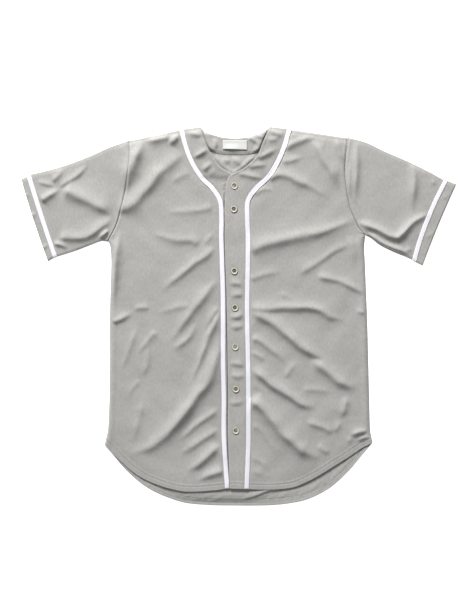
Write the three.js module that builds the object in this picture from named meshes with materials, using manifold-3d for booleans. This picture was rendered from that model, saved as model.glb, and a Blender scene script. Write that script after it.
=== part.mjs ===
// A short-sleeved baseball jersey with a full button front, laid flat on its back on a table.
// Millimetres. X runs to the wearer's left, Y to the collar and Z up from the table. The origin is
// on the table under the middle of the garment. Every panel is a wall of knit cloth: the back lies
// flat, the two fronts lie on it with their folds, and each sleeve is a flattened tube.
import * as THREE from 'three';
import { mergeVertices } from 'three/addons/utils/BufferGeometryUtils.js';
import Module from 'manifold-3d';

// Driving dimensions
const WALL = 1.2;
const GAP = 0.3;
const LAYER = WALL + GAP;
const BRAID_WIDTH = 9.5;
const BRAID_WALL = 1;
const HIDDEN_EDGE = 8;
const HEM_CORNER = { right: { x: -277, y: -268 }, left: { x: 277, y: -262 } };
const BRAID_TOP_Y = 165;
const BUTTON_DIAMETER = 15;
const BUTTON_THICKNESS = 3.4;
const BUTTON_HOLE = 1.9;
const BUTTON_HOLE_PITCH = 3.4;

// How finely the cloth is divided
const ROWS_BELOW_ARM = 28;
const ROWS_PER_SECTION = 2;
const BODY_COLUMNS = 18;
const PLACKET_COLUMNS = 2;

// The body at heights y: side seams, the left front's free edge and the middles of both braids
const BODY_SECTIONS = [
  { y: -357, rightSide: -279, rightBraid: -23.6, freeEdge: -18.5, leftBraid: 16.3, leftSide: 279 },
  { y: -265, rightSide: -277, rightBraid: -29.9, freeEdge: -21.5, leftBraid: 20, leftSide: 277 },
  { y: -236, rightSide: -271, rightBraid: -31, freeEdge: -22, leftBraid: 20.2, leftSide: 272 },
  { y: -174, rightSide: -268, rightBraid: -30.6, freeEdge: -22, leftBraid: 20.2, leftSide: 270 },
  { y: -91, rightSide: -267, rightBraid: -32.2, freeEdge: -22.5, leftBraid: 19.4, leftSide: 268 },
  { y: 0, rightSide: -267, rightBraid: -32.2, freeEdge: -24, leftBraid: 17.6, leftSide: 265.5 },
  { y: 60, rightSide: -265.5, rightBraid: -32.9, freeEdge: -25.5, leftBraid: 18, leftSide: 263 },
  { y: 112, rightSide: -264, rightBraid: -34.5, freeEdge: -27.5, leftBraid: 19, leftSide: 261 },
  { y: 143, rightSide: -266, rightBraid: -35.5, freeEdge: -28.5, leftBraid: 19.3, leftSide: 259.5 },
  { y: 170, rightSide: -272, rightBraid: -36.1, freeEdge: -29, leftBraid: 19.3, leftSide: 262 },
];

// The tails: how low the fronts and the back hang at each x
const HEM_SECTIONS = [
  { x: -277, front: -268, back: -268 },
  { x: -260, front: -285, back: -287 },
  { x: -242, front: -302, back: -309 },
  { x: -221, front: -321, back: -330 },
  { x: -198, front: -336, back: -349 },
  { x: -173, front: -347, back: -364 },
  { x: -142, front: -357, back: -377 },
  { x: -107, front: -363, back: -387 },
  { x: -49, front: -360, back: -391.5 },
  { x: -18, front: -356, back: -392 },
  { x: 48, front: -359, back: -392 },
  { x: 85, front: -358, back: -390 },
  { x: 114, front: -354, back: -386 },
  { x: 137, front: -345, back: -381 },
  { x: 164, front: -331, back: -370 },
  { x: 195, front: -312, back: -351 },
  { x: 230, front: -290, back: -318 },
  { x: 255, front: -273, back: -288 },
  { x: 277, front: -262, back: -262 },
];

// From the arm level up to the shoulder seam: points on the armhole, the middle of the braid and
// the front's inner edge, and how far that edge and the braid stand above the layer below
const YOKE_SECTIONS = {
  right: [
    { armhole: [-271, 155], braid: [-36.1, 165], edge: [11, 165], edgeRise: 0, braidRise: 0 },
    { armhole: [-259, 176], braid: [-35.6, 200], edge: [10, 205], edgeRise: 0, braidRise: 0 },
    { armhole: [-250, 197], braid: [-38.3, 237], edge: [8, 250], edgeRise: 0, braidRise: 0 },
    { armhole: [-243, 224], braid: [-54.7, 264], edge: [-3, 287], edgeRise: 0, braidRise: 0 },
    { armhole: [-234, 261], braid: [-76, 285], edge: [-36, 307], edgeRise: 1, braidRise: 0.3 },
    { armhole: [-229, 298], braid: [-95.5, 315], edge: [-55, 332], edgeRise: 2.6, braidRise: 0.8 },
    { armhole: [-226, 333], braid: [-108.5, 347], edge: [-68, 357], edgeRise: 3, braidRise: 1 },
    { armhole: [-227, 362], braid: [-118.5, 385.5], edge: [-79, 391], edgeRise: 0, braidRise: 0 },
  ],
  left: [
    { armhole: [262, 168], braid: [19.3, 165], edge: [-29, 165], edgeRise: 1.5, braidRise: 1.5 },
    { armhole: [250, 180], braid: [18, 200], edge: [-29, 208], edgeRise: 1.5, braidRise: 1.5 },
    { armhole: [240, 199], braid: [19, 237], edge: [-27.5, 250], edgeRise: 1.5, braidRise: 1.5 },
    { armhole: [230, 223], braid: [36.3, 263.5], edge: [-21, 287], edgeRise: 1.6, braidRise: 1.5 },
    { armhole: [223, 257], braid: [59.8, 285.5], edge: [9, 304.5], edgeRise: 2.4, braidRise: 1.4 },
    { armhole: [219, 292], braid: [78, 313], edge: [37.5, 331], edgeRise: 3, braidRise: 1.2 },
    { armhole: [220, 327], braid: [92, 344], edge: [51, 362], edgeRise: 3, braidRise: 1 },
    { armhole: [226, 368], braid: [105, 386], edge: [64.5, 391.5], edgeRise: 0, braidRise: 0 },
  ],
};
const YOKE_SPANS = YOKE_SECTIONS.right.length - 1;
const YOKE_ROWS = YOKE_SPANS * ROWS_PER_SECTION;

// The back neckline and the lower edge of the facing inside it
const NECK_SECTIONS = [
  { x: -72, neck: 382, facing: 352 },
  { x: -57, neck: 376, facing: 340 },
  { x: -35, neck: 370, facing: 334.5 },
  { x: -8, neck: 367, facing: 333 },
  { x: 19, neck: 370, facing: 334 },
  { x: 42, neck: 377, facing: 339.5 },
  { x: 57, neck: 385.5, facing: 353 },
];

// Each sleeve from just past the armhole to the cuff: its upper fold, its underarm seam and how
// far the line between them bows outward, or inward where it is below 0. The braid lies between the
// two sections before the cuff
const SLEEVE_SECTIONS = {
  right: [
    { top: [-267, 348], under: [-284, 156], bow: 0 },
    { top: [-312, 328], under: [-306, 148], bow: 0 },
    { top: [-360, 310], under: [-332, 138], bow: 0.5 },
    { top: [-401, 298.5], under: [-357, 129.5], bow: 1 },
    { top: [-429, 292], under: [-375, 124], bow: 1 },
    { top: [-438, 287.5], under: [-383.5, 120.5], bow: 1 },
    { top: [-449, 282], under: [-394, 114], bow: 2 },
  ],
  left: [
    { top: [262, 358.5], under: [274, 161.5], bow: 0 },
    { top: [301, 340], under: [293, 147], bow: 0 },
    { top: [348, 319.5], under: [318, 134.5], bow: -2 },
    { top: [390, 299], under: [340, 125.5], bow: -4 },
    { top: [423, 281], under: [358.2, 117.5], bow: -6 },
    { top: [432, 278.5], under: [366.8, 112], bow: -6 },
    { top: [449, 271.5], under: [380, 105.5], bow: -2 },
  ],
};
const BRAID_SECTION_FROM_CUFF = 2;

// The largest folds: the height of each crest, how far its slopes reach, and its line
const FOLDS = [
  { name: 'right shoulder drop', height: 5, reach: 19, crest: [[-202, 360], [-216, 319], [-234, 248]] },
  { name: 'right yoke', height: 6, reach: 18,
    crest: [[-250, 214], [-221, 230], [-188, 267], [-153, 306], [-110, 339]] },
  { name: 'right ribs', height: 3, reach: 14, crest: [[-163, 48], [-101, 101], [-51, 139]] },
  { name: 'right waist', height: 3.8, reach: 15,
    crest: [[-142, -50], [-113, -12], [-74, 41], [-43, 77]] },
  { name: 'right belly', height: 3.4, reach: 13, crest: [[-105, -159], [-76, -70], [-41, -12]] },
  { name: 'right tail', height: 6.5, reach: 19,
    crest: [[-229, -288], [-184, -273], [-142, -236], [-101, -188], [-66, -137], [-43, -80]] },
  { name: 'right tail by the buttons', height: 4.2, reach: 15, crest: [[-109, -323], [-72, -296], [-38, -266]] },
  { name: 'right side roll', height: 3.5, reach: 13, crest: [[-248, 168], [-254, 126], [-257, 91]] },
  { name: 'left collar', height: 3.5, reach: 13, crest: [[94, 342], [127, 362], [164, 372]] },
  { name: 'left yoke', height: 3.6, reach: 14, crest: [[61, 286], [102, 288], [143, 269], [189, 246]] },
  { name: 'left chest', height: 5, reach: 17,
    crest: [[25, 132], [75, 153], [137, 166], [199, 182], [247, 205]] },
  { name: 'left waist', height: 4, reach: 14, crest: [[23, 13], [96, 16], [158, 14], [224, -12]] },
  { name: 'left belly', height: 5, reach: 16,
    crest: [[27, 4], [69, -14], [131, -62], [174, -100], [234, -149]] },
  { name: 'left belly below', height: 4, reach: 14, crest: [[25, -110], [65, -139], [127, -182]] },
  { name: 'left tail', height: 6.5, reach: 19,
    crest: [[25, -178], [63, -207], [102, -255], [141, -288], [172, -294]] },
  { name: 'left tail by the side', height: 3, reach: 14, crest: [[222, -160], [219, -186], [214, -212]] },
  { name: 'left side', height: 2.8, reach: 12, crest: [[160, 81], [210, 71], [258, 47]] },
  { name: 'right sleeve', height: 4.6, reach: 18, crest: [[-370, 263], [-329, 246], [-267, 209], [-238, 190]] },
  { name: 'right sleeve below', height: 4, reach: 14, crest: [[-376, 153], [-318, 157], [-281, 179], [-255, 200]] },
  { name: 'left sleeve head', height: 3, reach: 13, crest: [[242, 362], [243, 302], [239, 230]] },
  { name: 'left sleeve below', height: 4.5, reach: 16,
    crest: [[240, 195], [284, 182], [324, 166], [352, 181], [376, 206]] },
];
const FOLD_FADE = 0.22;
const SIDE_EASE = 12;
const SLEEVE_END_EASE = 0.12;

// Where the seven buttons are sewn, down the left front
const BUTTONS = [
  { x: -9, y: 269 },
  { x: -10, y: 221 },
  { x: -9, y: 93 },
  { x: -8, y: 17 },
  { x: -7, y: -64 },
  { x: -6, y: -151 },
  { x: -6, y: -237 },
];
const LABEL = { left: -33, right: 17, bottom: 345, top: 363, lift: 2 };

const CLOTH_FINISH = { color: 0xb4b5af, roughness: 0.9, metalness: 0 };
const BRAID_FINISH = { color: 0xecebf2, roughness: 0.75, metalness: 0 };
const LABEL_FINISH = { color: 0xe9eae7, roughness: 0.6, metalness: 0 };
const BUTTON_FINISH = { color: 0xc9c6b8, roughness: 0.4, metalness: 0 };

// Smooth value of a table's column at a place that lies between its rows
function along(table, by, column, at) {
  let row = 1;
  while (row < table.length - 1 && at > table[row][by]) row += 1;
  const [before, after] = [table[row - 1], table[row]];
  const span = after[by] - before[by];
  const u = THREE.MathUtils.clamp((at - before[by]) / span, 0, 1);
  const slope = (index) => {
    const low = table[Math.max(index - 1, 0)];
    const high = table[Math.min(index + 1, table.length - 1)];
    return (high[column] - low[column]) / (high[by] - low[by]);
  };
  return before[column] * (1 + 2 * u) * (1 - u) ** 2
    + slope(row - 1) * span * u * (1 - u) ** 2
    + after[column] * u * u * (3 - 2 * u)
    + slope(row) * span * u * u * (u - 1);
}

// Smooth curve through one column of points, read by section number
function curveThrough(sections, column) {
  const points = sections.map((section) => new THREE.Vector3(...section[column], 0));
  const curve = new THREE.CatmullRomCurve3(points, false, 'catmullrom', 0.5);
  return {
    at: (section) => curve.getPoint(section / (points.length - 1)),
    tangent: (section) => curve.getTangent(section / (points.length - 1)),
  };
}

function linear(sections, column, section) {
  const low = Math.min(Math.floor(section), sections.length - 2);
  return THREE.MathUtils.lerp(sections[low][column], sections[low + 1][column], section - low);
}

const mix = THREE.MathUtils.lerp;
const ease = (value) => THREE.MathUtils.smoothstep(value, 0, 1);

// Height that the folds add to the cloth at a place
function reliefAt(x, y) {
  let total = 0;
  for (const { height, reach, crest } of FOLDS) {
    let nearest = Infinity;
    let placeOnCrest = 0;
    for (let i = 1; i < crest.length; i += 1) {
      const [ax, ay] = crest[i - 1];
      const [dx, dy] = [crest[i][0] - ax, crest[i][1] - ay];
      const u = THREE.MathUtils.clamp(((x - ax) * dx + (y - ay) * dy) / (dx * dx + dy * dy), 0, 1);
      const distance = Math.hypot(x - ax - u * dx, y - ay - u * dy);
      if (distance < nearest) {
        nearest = distance;
        placeOnCrest = (i - 1 + u) / (crest.length - 1);
      }
    }
    if (nearest < reach) {
      const end = ease(Math.min(placeOnCrest, 1 - placeOnCrest) / FOLD_FADE + 0.25);
      total += (height * end * (1 + Math.cos((Math.PI * nearest) / reach)) / 2) ** 2;
    }
  }
  return Math.sqrt(total);
}

// One closed body from a skin of corner positions and triangles
function solid(name, positions, triangles, finish) {
  const geometry = new THREE.BufferGeometry();
  geometry.setAttribute('position', new THREE.Float32BufferAttribute(positions, 3));
  geometry.setIndex(triangles);
  geometry.computeVertexNormals();
  const mesh = new THREE.Mesh(geometry, new THREE.MeshStandardMaterial(finish));
  mesh.name = name;
  return mesh;
}

// A wall of cloth on a grid of points, which is its lower face
function clothSheet(name, grid, wall, finish) {
  const rows = grid.length;
  const columns = grid[0].length;
  const positions = [];
  for (const rise of [0, wall]) {
    for (const row of grid) {
      for (const point of row) positions.push(point.x, point.y, point.z + rise);
    }
  }
  const low = (i, j) => i * columns + j;
  const high = (i, j) => rows * columns + low(i, j);
  const triangles = [];
  const face = (a, b, c, d) => triangles.push(a, b, c, a, c, d);
  for (let i = 0; i < rows - 1; i += 1) {
    for (let j = 0; j < columns - 1; j += 1) {
      triangles.push(high(i, j), high(i, j + 1), high(i + 1, j + 1));
      triangles.push(high(i, j), high(i + 1, j + 1), high(i + 1, j));
      triangles.push(low(i, j), low(i + 1, j + 1), low(i, j + 1));
      triangles.push(low(i, j), low(i + 1, j), low(i + 1, j + 1));
    }
  }
  for (let j = 0; j < columns - 1; j += 1) {
    face(low(0, j), low(0, j + 1), high(0, j + 1), high(0, j));
    face(low(rows - 1, j + 1), low(rows - 1, j), high(rows - 1, j), high(rows - 1, j + 1));
  }
  for (let i = 0; i < rows - 1; i += 1) {
    face(low(i + 1, 0), low(i, 0), high(i, 0), high(i + 1, 0));
    face(low(i, columns - 1), low(i + 1, columns - 1), high(i + 1, columns - 1), high(i, columns - 1));
  }
  return solid(name, positions, triangles, finish);
}

// A tube of cloth from rings of points round its outer and inner faces
function clothTube(name, outerRings, innerRings, finish) {
  const around = outerRings[0].length;
  const rings = [...outerRings, ...[...innerRings].reverse()];
  const positions = rings.flat().flatMap((point) => [point.x, point.y, point.z]);
  const triangles = [];
  for (let i = 0; i < rings.length; i += 1) {
    const next = (i + 1) % rings.length;
    for (let j = 0; j < around; j += 1) {
      const k = (j + 1) % around;
      const [a, b, c, d] = [i * around + j, i * around + k, next * around + k, next * around + j];
      triangles.push(a, b, c, a, c, d);
    }
  }
  return solid(name, positions, triangles, finish);
}

// Turns a body's faces to point out where its grid runs the other way round
function facingOut(mesh) {
  const { geometry } = mesh;
  const position = geometry.attributes.position;
  const index = geometry.index.array;
  const [a, b, c] = [new THREE.Vector3(), new THREE.Vector3(), new THREE.Vector3()];
  let volume = 0;
  for (let i = 0; i < index.length; i += 3) {
    a.fromBufferAttribute(position, index[i]);
    b.fromBufferAttribute(position, index[i + 1]);
    c.fromBufferAttribute(position, index[i + 2]);
    volume += a.dot(b.cross(c));
  }
  if (volume < 0) {
    for (let i = 0; i < index.length; i += 3) [index[i + 1], index[i + 2]] = [index[i + 2], index[i + 1]];
    geometry.computeVertexNormals();
  }
  return mesh;
}

// Folds die out at both ends of the armhole, where the cloth is sewn down to the back
const armholeEase = (share) => ease(Math.min(share, 1 - share) / SLEEVE_END_EASE);

// The points of one front, row by row from the tail to the shoulder. A row runs from the side seam
// or armhole, over the two edges of the braid, to the front's inner edge
function frontRows(side) {
  const isRight = side === 'right';
  const inward = isRight ? 1 : -1;
  const yoke = YOKE_SECTIONS[side];
  const corner = HEM_CORNER[side];
  const sideColumn = isRight ? 'rightSide' : 'leftSide';
  const [armholeCurve, braidCurve, edgeCurve] = ['armhole', 'braid', 'edge'].map((c) => curveThrough(yoke, c));
  const overlapRise = isRight ? 0 : LAYER;

  const braidX = (y) => (isRight
    ? along(BODY_SECTIONS, 'y', 'rightBraid', y)
    : along(BODY_SECTIONS, 'y', 'leftBraid', y));
  const edgeX = (y) => (isRight
    ? along(BODY_SECTIONS, 'y', 'leftBraid', y) - HIDDEN_EDGE
    : along(BODY_SECTIONS, 'y', 'freeEdge', y));
  const hemY = (x) => along(HEM_SECTIONS, 'x', 'front', x);

  const anchors = [];
  const hemBraid = braidX(hemY(0));
  const hemOuter = hemBraid - (inward * BRAID_WIDTH) / 2;
  for (let i = 0; i < ROWS_BELOW_ARM; i += 1) {
    const up = i / ROWS_BELOW_ARM;
    const sideY = mix(corner.y, yoke[0].armhole[1], up);
    const sideX = i === 0 ? corner.x : along(BODY_SECTIONS, 'y', sideColumn, sideY);
    const heightOn = (hemX) => mix(hemY(hemX), BRAID_TOP_Y, up);
    const middle = braidX(heightOn(hemBraid));
    const body = [];
    for (let j = 0; j <= BODY_COLUMNS; j += 1) {
      const share = j / BODY_COLUMNS;
      const hemX = mix(corner.x, hemOuter, share);
      body.push([
        mix(sideX, middle - (inward * BRAID_WIDTH) / 2, share),
        mix(hemY(hemX), mix(yoke[0].armhole[1], BRAID_TOP_Y, share), up),
      ]);
    }
    anchors.push({
      body,
      inner: [middle + (inward * BRAID_WIDTH) / 2, heightOn(hemBraid)],
      edge: [edgeX(heightOn(0)), heightOn(0)],
      edgeRise: overlapRise,
      braidRise: overlapRise,
      seamEase: 0,
      shoulderEase: 1,
    });
  }
  for (let i = 0; i <= YOKE_ROWS; i += 1) {
    const section = i / ROWS_PER_SECTION;
    const armhole = armholeCurve.at(section);
    const middle = braidCurve.at(section);
    const tangent = braidCurve.tangent(section);
    const across = new THREE.Vector3(tangent.y, -tangent.x, 0).multiplyScalar((inward * BRAID_WIDTH) / 2);
    const outer = middle.clone().sub(across);
    const inner = middle.clone().add(across);
    const edge = edgeCurve.at(section);
    const body = [];
    for (let j = 0; j <= BODY_COLUMNS; j += 1) {
      const point = armhole.clone().lerp(outer, j / BODY_COLUMNS);
      body.push([point.x, point.y]);
    }
    anchors.push({
      body,
      inner: [inner.x, inner.y],
      edge: [edge.x, edge.y],
      edgeRise: linear(yoke, 'edgeRise', section),
      braidRise: linear(yoke, 'braidRise', section),
      seamEase: armholeEase(i / YOKE_ROWS),
      shoulderEase: ease(YOKE_SPANS - section),
    });
  }

  return anchors.map(({ body, inner, edge, edgeRise, braidRise, seamEase, shoulderEase }) => {
    const outerRise = 0.4 * braidRise;
    const row = body.map(([x, y], j) => {
      const fromSeam = Math.hypot(x - body[0][0], y - body[0][1]) / SIDE_EASE;
      const relief = reliefAt(x, y) * shoulderEase * mix(seamEase, 1, ease(fromSeam));
      return { x, y, z: LAYER + relief + outerRise * (j / BODY_COLUMNS) ** 8 };
    });
    row.push({ x: inner[0], y: inner[1], z: LAYER + braidRise });
    for (let j = 1; j <= PLACKET_COLUMNS; j += 1) {
      const share = j / PLACKET_COLUMNS;
      const rise = mix(braidRise, edgeRise, share);
      row.push({ x: mix(inner[0], edge[0], share), y: mix(inner[1], edge[1], share), z: LAYER + rise });
    }
    return row;
  });
}

// The points of a flattened sleeve: rows from the armhole to the cuff, each from the underarm
// seam to the upper fold, with the height of the lower run and of the upper run
function sleeveRows(side) {
  const outward = side === 'right' ? -1 : 1;
  const sections = SLEEVE_SECTIONS[side];
  const armholeCurve = curveThrough(YOKE_SECTIONS[side], 'armhole');
  const start = {
    top: YOKE_SECTIONS[side][YOKE_SPANS].armhole,
    under: YOKE_SECTIONS[side][0].armhole,
    bow: 0,
  };
  const all = [start, ...sections];
  const [topCurve, underCurve] = ['top', 'under'].map((column) => curveThrough(all, column));
  const last = all.length - 1;
  const braidSection = last - BRAID_SECTION_FROM_CUFF;
  const rows = [];
  for (let section = 0; section <= last; section += section < braidSection ? 1 / ROWS_PER_SECTION : 1) {
    const top = topCurve.at(section);
    const under = underCurve.at(section);
    const bow = linear(all, 'bow', section);
    const nearArmhole = 1 - ease(section / 1.5);
    const lift = (BRAID_WALL + GAP) * ease((section - braidSection + 2) / 1.5);
    const row = [];
    for (let j = 0; j <= YOKE_ROWS; j += 1) {
      const share = j / YOKE_ROWS;
      const point = under.clone().lerp(top, share);
      const chord = new THREE.Vector3(...start.under, 0).lerp(new THREE.Vector3(...start.top, 0), share);
      point.add(armholeCurve.at(share * YOKE_SPANS).sub(chord).multiplyScalar(nearArmhole));
      point.x += outward * (4 * bow * share * (1 - share) + GAP * 1.2);
      const relief = reliefAt(point.x, point.y) * armholeEase(share) * ease((last - section) / 1.5);
      row.push({ x: point.x, y: point.y, low: lift, high: lift + LAYER + relief });
    }
    rows.push(row);
  }
  return rows;
}

// The ring round a sleeve row, with its upper and lower runs moved out by a clearance
function sleeveRing(row, clear) {
  const [first, last] = [row[0], row[row.length - 1]];
  const across = new THREE.Vector3(last.x - first.x, last.y - first.y, 0).normalize();
  const fold = (end, sign) => {
    const reach = Math.max(WALL + clear, 0.05) * sign;
    return { x: end.x + across.x * reach, y: end.y + across.y * reach, z: (end.low + end.high + WALL) / 2 };
  };
  const lower = row.map((p) => ({ x: p.x, y: p.y, z: p.low - clear }));
  const upper = row.map((p) => ({ x: p.x, y: p.y, z: p.high + WALL + clear }));
  return [...lower, fold(last, 1), ...upper.reverse(), fold(first, -1)];
}

function sleeve(side) {
  const rows = sleeveRows(side);
  const outer = rows.map((row) => sleeveRing(row, 0));
  const inner = rows.map((row) => sleeveRing(row, -WALL));
  return facingOut(clothTube(`sleeve_${side}`, outer, inner, CLOTH_FINISH));
}

function sleeveBraid(side) {
  const rows = sleeveRows(side);
  const edges = rows.slice(-BRAID_SECTION_FROM_CUFF - 1, -1);
  const outer = edges.map((row) => sleeveRing(row, GAP + BRAID_WALL));
  const inner = edges.map((row) => sleeveRing(row, GAP));
  return facingOut(clothTube(`braid_sleeve_${side}`, outer, inner, BRAID_FINISH));
}

// The back: one flat piece under both fronts, with the lower tail and the back neckline
function back(rightRows, leftRows) {
  const outline = [];
  const add = (point) => outline.push(new THREE.Vector2(point.x, point.y));
  rightRows.forEach((row) => add(row[0]));
  add(rightRows[rightRows.length - 1][BODY_COLUMNS]);
  add({ x: YOKE_SECTIONS.right[YOKE_SPANS].edge[0], y: YOKE_SECTIONS.right[YOKE_SPANS].edge[1] });
  NECK_SECTIONS.forEach(({ x, neck }) => add({ x, y: neck }));
  add({ x: YOKE_SECTIONS.left[YOKE_SPANS].edge[0], y: YOKE_SECTIONS.left[YOKE_SPANS].edge[1] });
  add(leftRows[leftRows.length - 1][BODY_COLUMNS]);
  [...leftRows].reverse().forEach((row) => add(row[0]));
  const steps = 48;
  for (let i = steps - 1; i > 0; i -= 1) {
    const x = mix(HEM_CORNER.right.x, HEM_CORNER.left.x, i / steps);
    add({ x, y: along(HEM_SECTIONS, 'x', 'back', x) });
  }
  const geometry = new THREE.ExtrudeGeometry(new THREE.Shape(outline), { depth: WALL, bevelEnabled: false });
  const mesh = new THREE.Mesh(geometry, new THREE.MeshStandardMaterial(CLOTH_FINISH));
  mesh.name = 'back';
  return mesh;
}

// The braid on a front lies on the two columns of points at its edges, moved out by the gap
function frontBraid(side, rows) {
  const grid = rows.map((row) => row.slice(BODY_COLUMNS, BODY_COLUMNS + 2)
    .map((point) => ({ ...point, z: point.z + LAYER })));
  return facingOut(clothSheet(`braid_front_${side}`, grid, BRAID_WALL, BRAID_FINISH));
}

function neckFacing() {
  const grid = [0, 0.5, 1].map((share) => NECK_SECTIONS.map(({ x, neck, facing }) => (
    { x, y: mix(facing, neck - 0.5, share), z: LAYER })));
  return facingOut(clothSheet('neck_facing', grid, WALL, CLOTH_FINISH));
}

// The label is sewn along its top, and its lower edge stands off the facing
function neckLabel() {
  const grid = [0, 0.35, 0.7, 1].map((share) => [0, 0.5, 1].map((across) => (
    {
      x: mix(LABEL.left, LABEL.right, across),
      y: mix(LABEL.bottom, LABEL.top, share),
      z: 2 * LAYER + LABEL.lift * (1 - ease(share / 0.7)),
    })));
  return facingOut(clothSheet('neck_label', grid, 1, LABEL_FINISH));
}

// A four-hole button, turned with a raised rim round a dished middle
const wasm = await Module();
wasm.setup();

function toManifold(geometry) {
  const plain = geometry.clone();
  plain.deleteAttribute('normal');
  plain.deleteAttribute('uv');
  const merged = mergeVertices(plain);
  return new wasm.Manifold(new wasm.Mesh({
    numProp: 3,
    vertProperties: new Float32Array(merged.attributes.position.array),
    triVerts: new Uint32Array(merged.index.array),
  }));
}

function buttonGeometry() {
  const radius = BUTTON_DIAMETER / 2;
  const profile = [
    [0, 0],
    [radius - 1, 0],
    [radius, 1.2],
    [radius - 0.7, BUTTON_THICKNESS],
    [radius - 2, BUTTON_THICKNESS - 0.2],
    [radius - 3, BUTTON_THICKNESS - 1.3],
    [0, BUTTON_THICKNESS - 1.4],
  ].map(([r, z]) => new THREE.Vector2(r, z));
  const turned = new THREE.LatheGeometry(profile, 16);
  turned.rotateX(Math.PI / 2);
  let body = toManifold(turned);
  for (const [signX, signY] of [[-1, -1], [-1, 1], [1, -1], [1, 1]]) {
    const hole = new THREE.CylinderGeometry(BUTTON_HOLE / 2, BUTTON_HOLE / 2, 2 * BUTTON_THICKNESS, 6);
    hole.rotateX(Math.PI / 2);
    hole.translate((signX * BUTTON_HOLE_PITCH) / 2, (signY * BUTTON_HOLE_PITCH) / 2, BUTTON_THICKNESS / 2);
    body = body.subtract(toManifold(hole));
  }
  const cut = body.getMesh();
  const geometry = new THREE.BufferGeometry();
  geometry.setAttribute('position', new THREE.Float32BufferAttribute(cut.vertProperties, 3));
  geometry.setIndex([...cut.triVerts]);
  geometry.computeVertexNormals();
  return geometry;
}

const jersey = new THREE.Group();
const rightRows = frontRows('right');
const leftRows = frontRows('left');
jersey.add(back(rightRows, leftRows));
jersey.add(neckFacing());
jersey.add(neckLabel());
jersey.add(facingOut(clothSheet('front_right', rightRows, WALL, CLOTH_FINISH)));
jersey.add(facingOut(clothSheet('front_left', leftRows, WALL, CLOTH_FINISH)));
jersey.add(frontBraid('right', rightRows));
jersey.add(frontBraid('left', leftRows));
for (const side of ['right', 'left']) {
  jersey.add(sleeve(side));
  jersey.add(sleeveBraid(side));
}
const button = buttonGeometry();
BUTTONS.forEach(({ x, y }, index) => {
  const mesh = new THREE.Mesh(button.clone(), new THREE.MeshStandardMaterial(BUTTON_FINISH));
  mesh.name = `button_${index + 1}`;
  mesh.position.set(x, y, 2 * LAYER + WALL + GAP);
  jersey.add(mesh);
});

export default jersey;
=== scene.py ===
# A grey short-sleeved baseball jersey, buttoned and laid flat on its back, seen from straight above.
# Tables are in millimetres in the part's own frame: X to the wearer's left, Y to the collar, Z up.
import math

import bpy
import numpy as np
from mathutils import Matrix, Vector, noise


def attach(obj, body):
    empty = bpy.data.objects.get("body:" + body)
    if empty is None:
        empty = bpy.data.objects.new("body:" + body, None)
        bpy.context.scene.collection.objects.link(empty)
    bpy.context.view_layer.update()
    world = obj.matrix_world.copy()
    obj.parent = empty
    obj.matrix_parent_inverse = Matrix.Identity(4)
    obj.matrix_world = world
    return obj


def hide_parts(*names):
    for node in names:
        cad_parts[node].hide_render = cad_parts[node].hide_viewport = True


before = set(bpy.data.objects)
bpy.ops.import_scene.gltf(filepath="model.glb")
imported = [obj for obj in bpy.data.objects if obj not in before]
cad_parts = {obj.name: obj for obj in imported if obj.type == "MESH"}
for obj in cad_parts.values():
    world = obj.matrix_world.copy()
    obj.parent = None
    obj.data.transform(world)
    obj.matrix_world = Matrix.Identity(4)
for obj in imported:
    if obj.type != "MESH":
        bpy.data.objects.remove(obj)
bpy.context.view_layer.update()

# The view is the photograph's: straight down on the cloth, with the collar at the top of the frame.
# The photograph is 460 by 613 pixels, and a pixel spans 2.07 mm of the jersey.
MM = 0.001
PIXEL_MM = 2.07
PHOTO_HEIGHT_PX = 613
PHOTO_CENTRE_X_MM = -18.1
PHOTO_CENTRE_Y_MM = 19.7
LENS_MM = 85
SENSOR_MM = 36
camera_data = bpy.data.cameras.new("camera")
camera_data.lens = LENS_MM
camera_data.sensor_width = SENSOR_MM
camera = bpy.data.objects.new("camera", camera_data)
camera_height = PHOTO_HEIGHT_PX * PIXEL_MM * MM * LENS_MM / SENSOR_MM
camera.location = (PHOTO_CENTRE_X_MM * MM, PHOTO_CENTRE_Y_MM * MM, camera_height)
bpy.context.scene.collection.objects.link(camera)
bpy.context.scene.camera = camera

# The studio: a softly lit white light table, a large lamp beyond the collar on the left, and white
# walls that fill the shadows. The lamp stands low, so each fold has a bright and a dark flank.
FLOOR_SIZE = 12
FLOOR_GLOW = 0.8
LAMP_SIZE = 1.6
LAMP_PLACE = (-1.5, 4.9, 2.7)
LAMP_POWER = 700
LAMP_COLOUR = (1.0, 0.995, 0.98)
WALL_COLOUR = (0.97, 0.985, 1.0, 1.0)
FILL_STRENGTH = 0.36
floor_mesh = bpy.data.meshes.new("floor")
half_floor = FLOOR_SIZE / 2
floor_mesh.from_pydata(
    [(-half_floor, -half_floor, 0), (half_floor, -half_floor, 0),
     (half_floor, half_floor, 0), (-half_floor, half_floor, 0)], [], [(0, 1, 2, 3)])
floor = bpy.data.objects.new("floor", floor_mesh)
floor.location.z = -0.2 * MM
bpy.context.scene.collection.objects.link(floor)

lamp_data = bpy.data.lights.new("lamp", "AREA")
lamp_data.size = LAMP_SIZE
lamp_data.energy = LAMP_POWER
lamp_data.color = LAMP_COLOUR
lamp = bpy.data.objects.new("lamp", lamp_data)
lamp.location = LAMP_PLACE
lamp.rotation_euler = (-Vector(LAMP_PLACE)).to_track_quat("-Z", "Y").to_euler()
bpy.context.scene.collection.objects.link(lamp)

walls = bpy.data.worlds.new("white_walls")
walls.use_nodes = True
background = walls.node_tree.nodes["Background"]
background.inputs["Color"].default_value = WALL_COLOUR
background.inputs["Strength"].default_value = FILL_STRENGTH
bpy.context.scene.world = walls
bpy.context.scene.view_settings.view_transform = "Standard"


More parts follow.
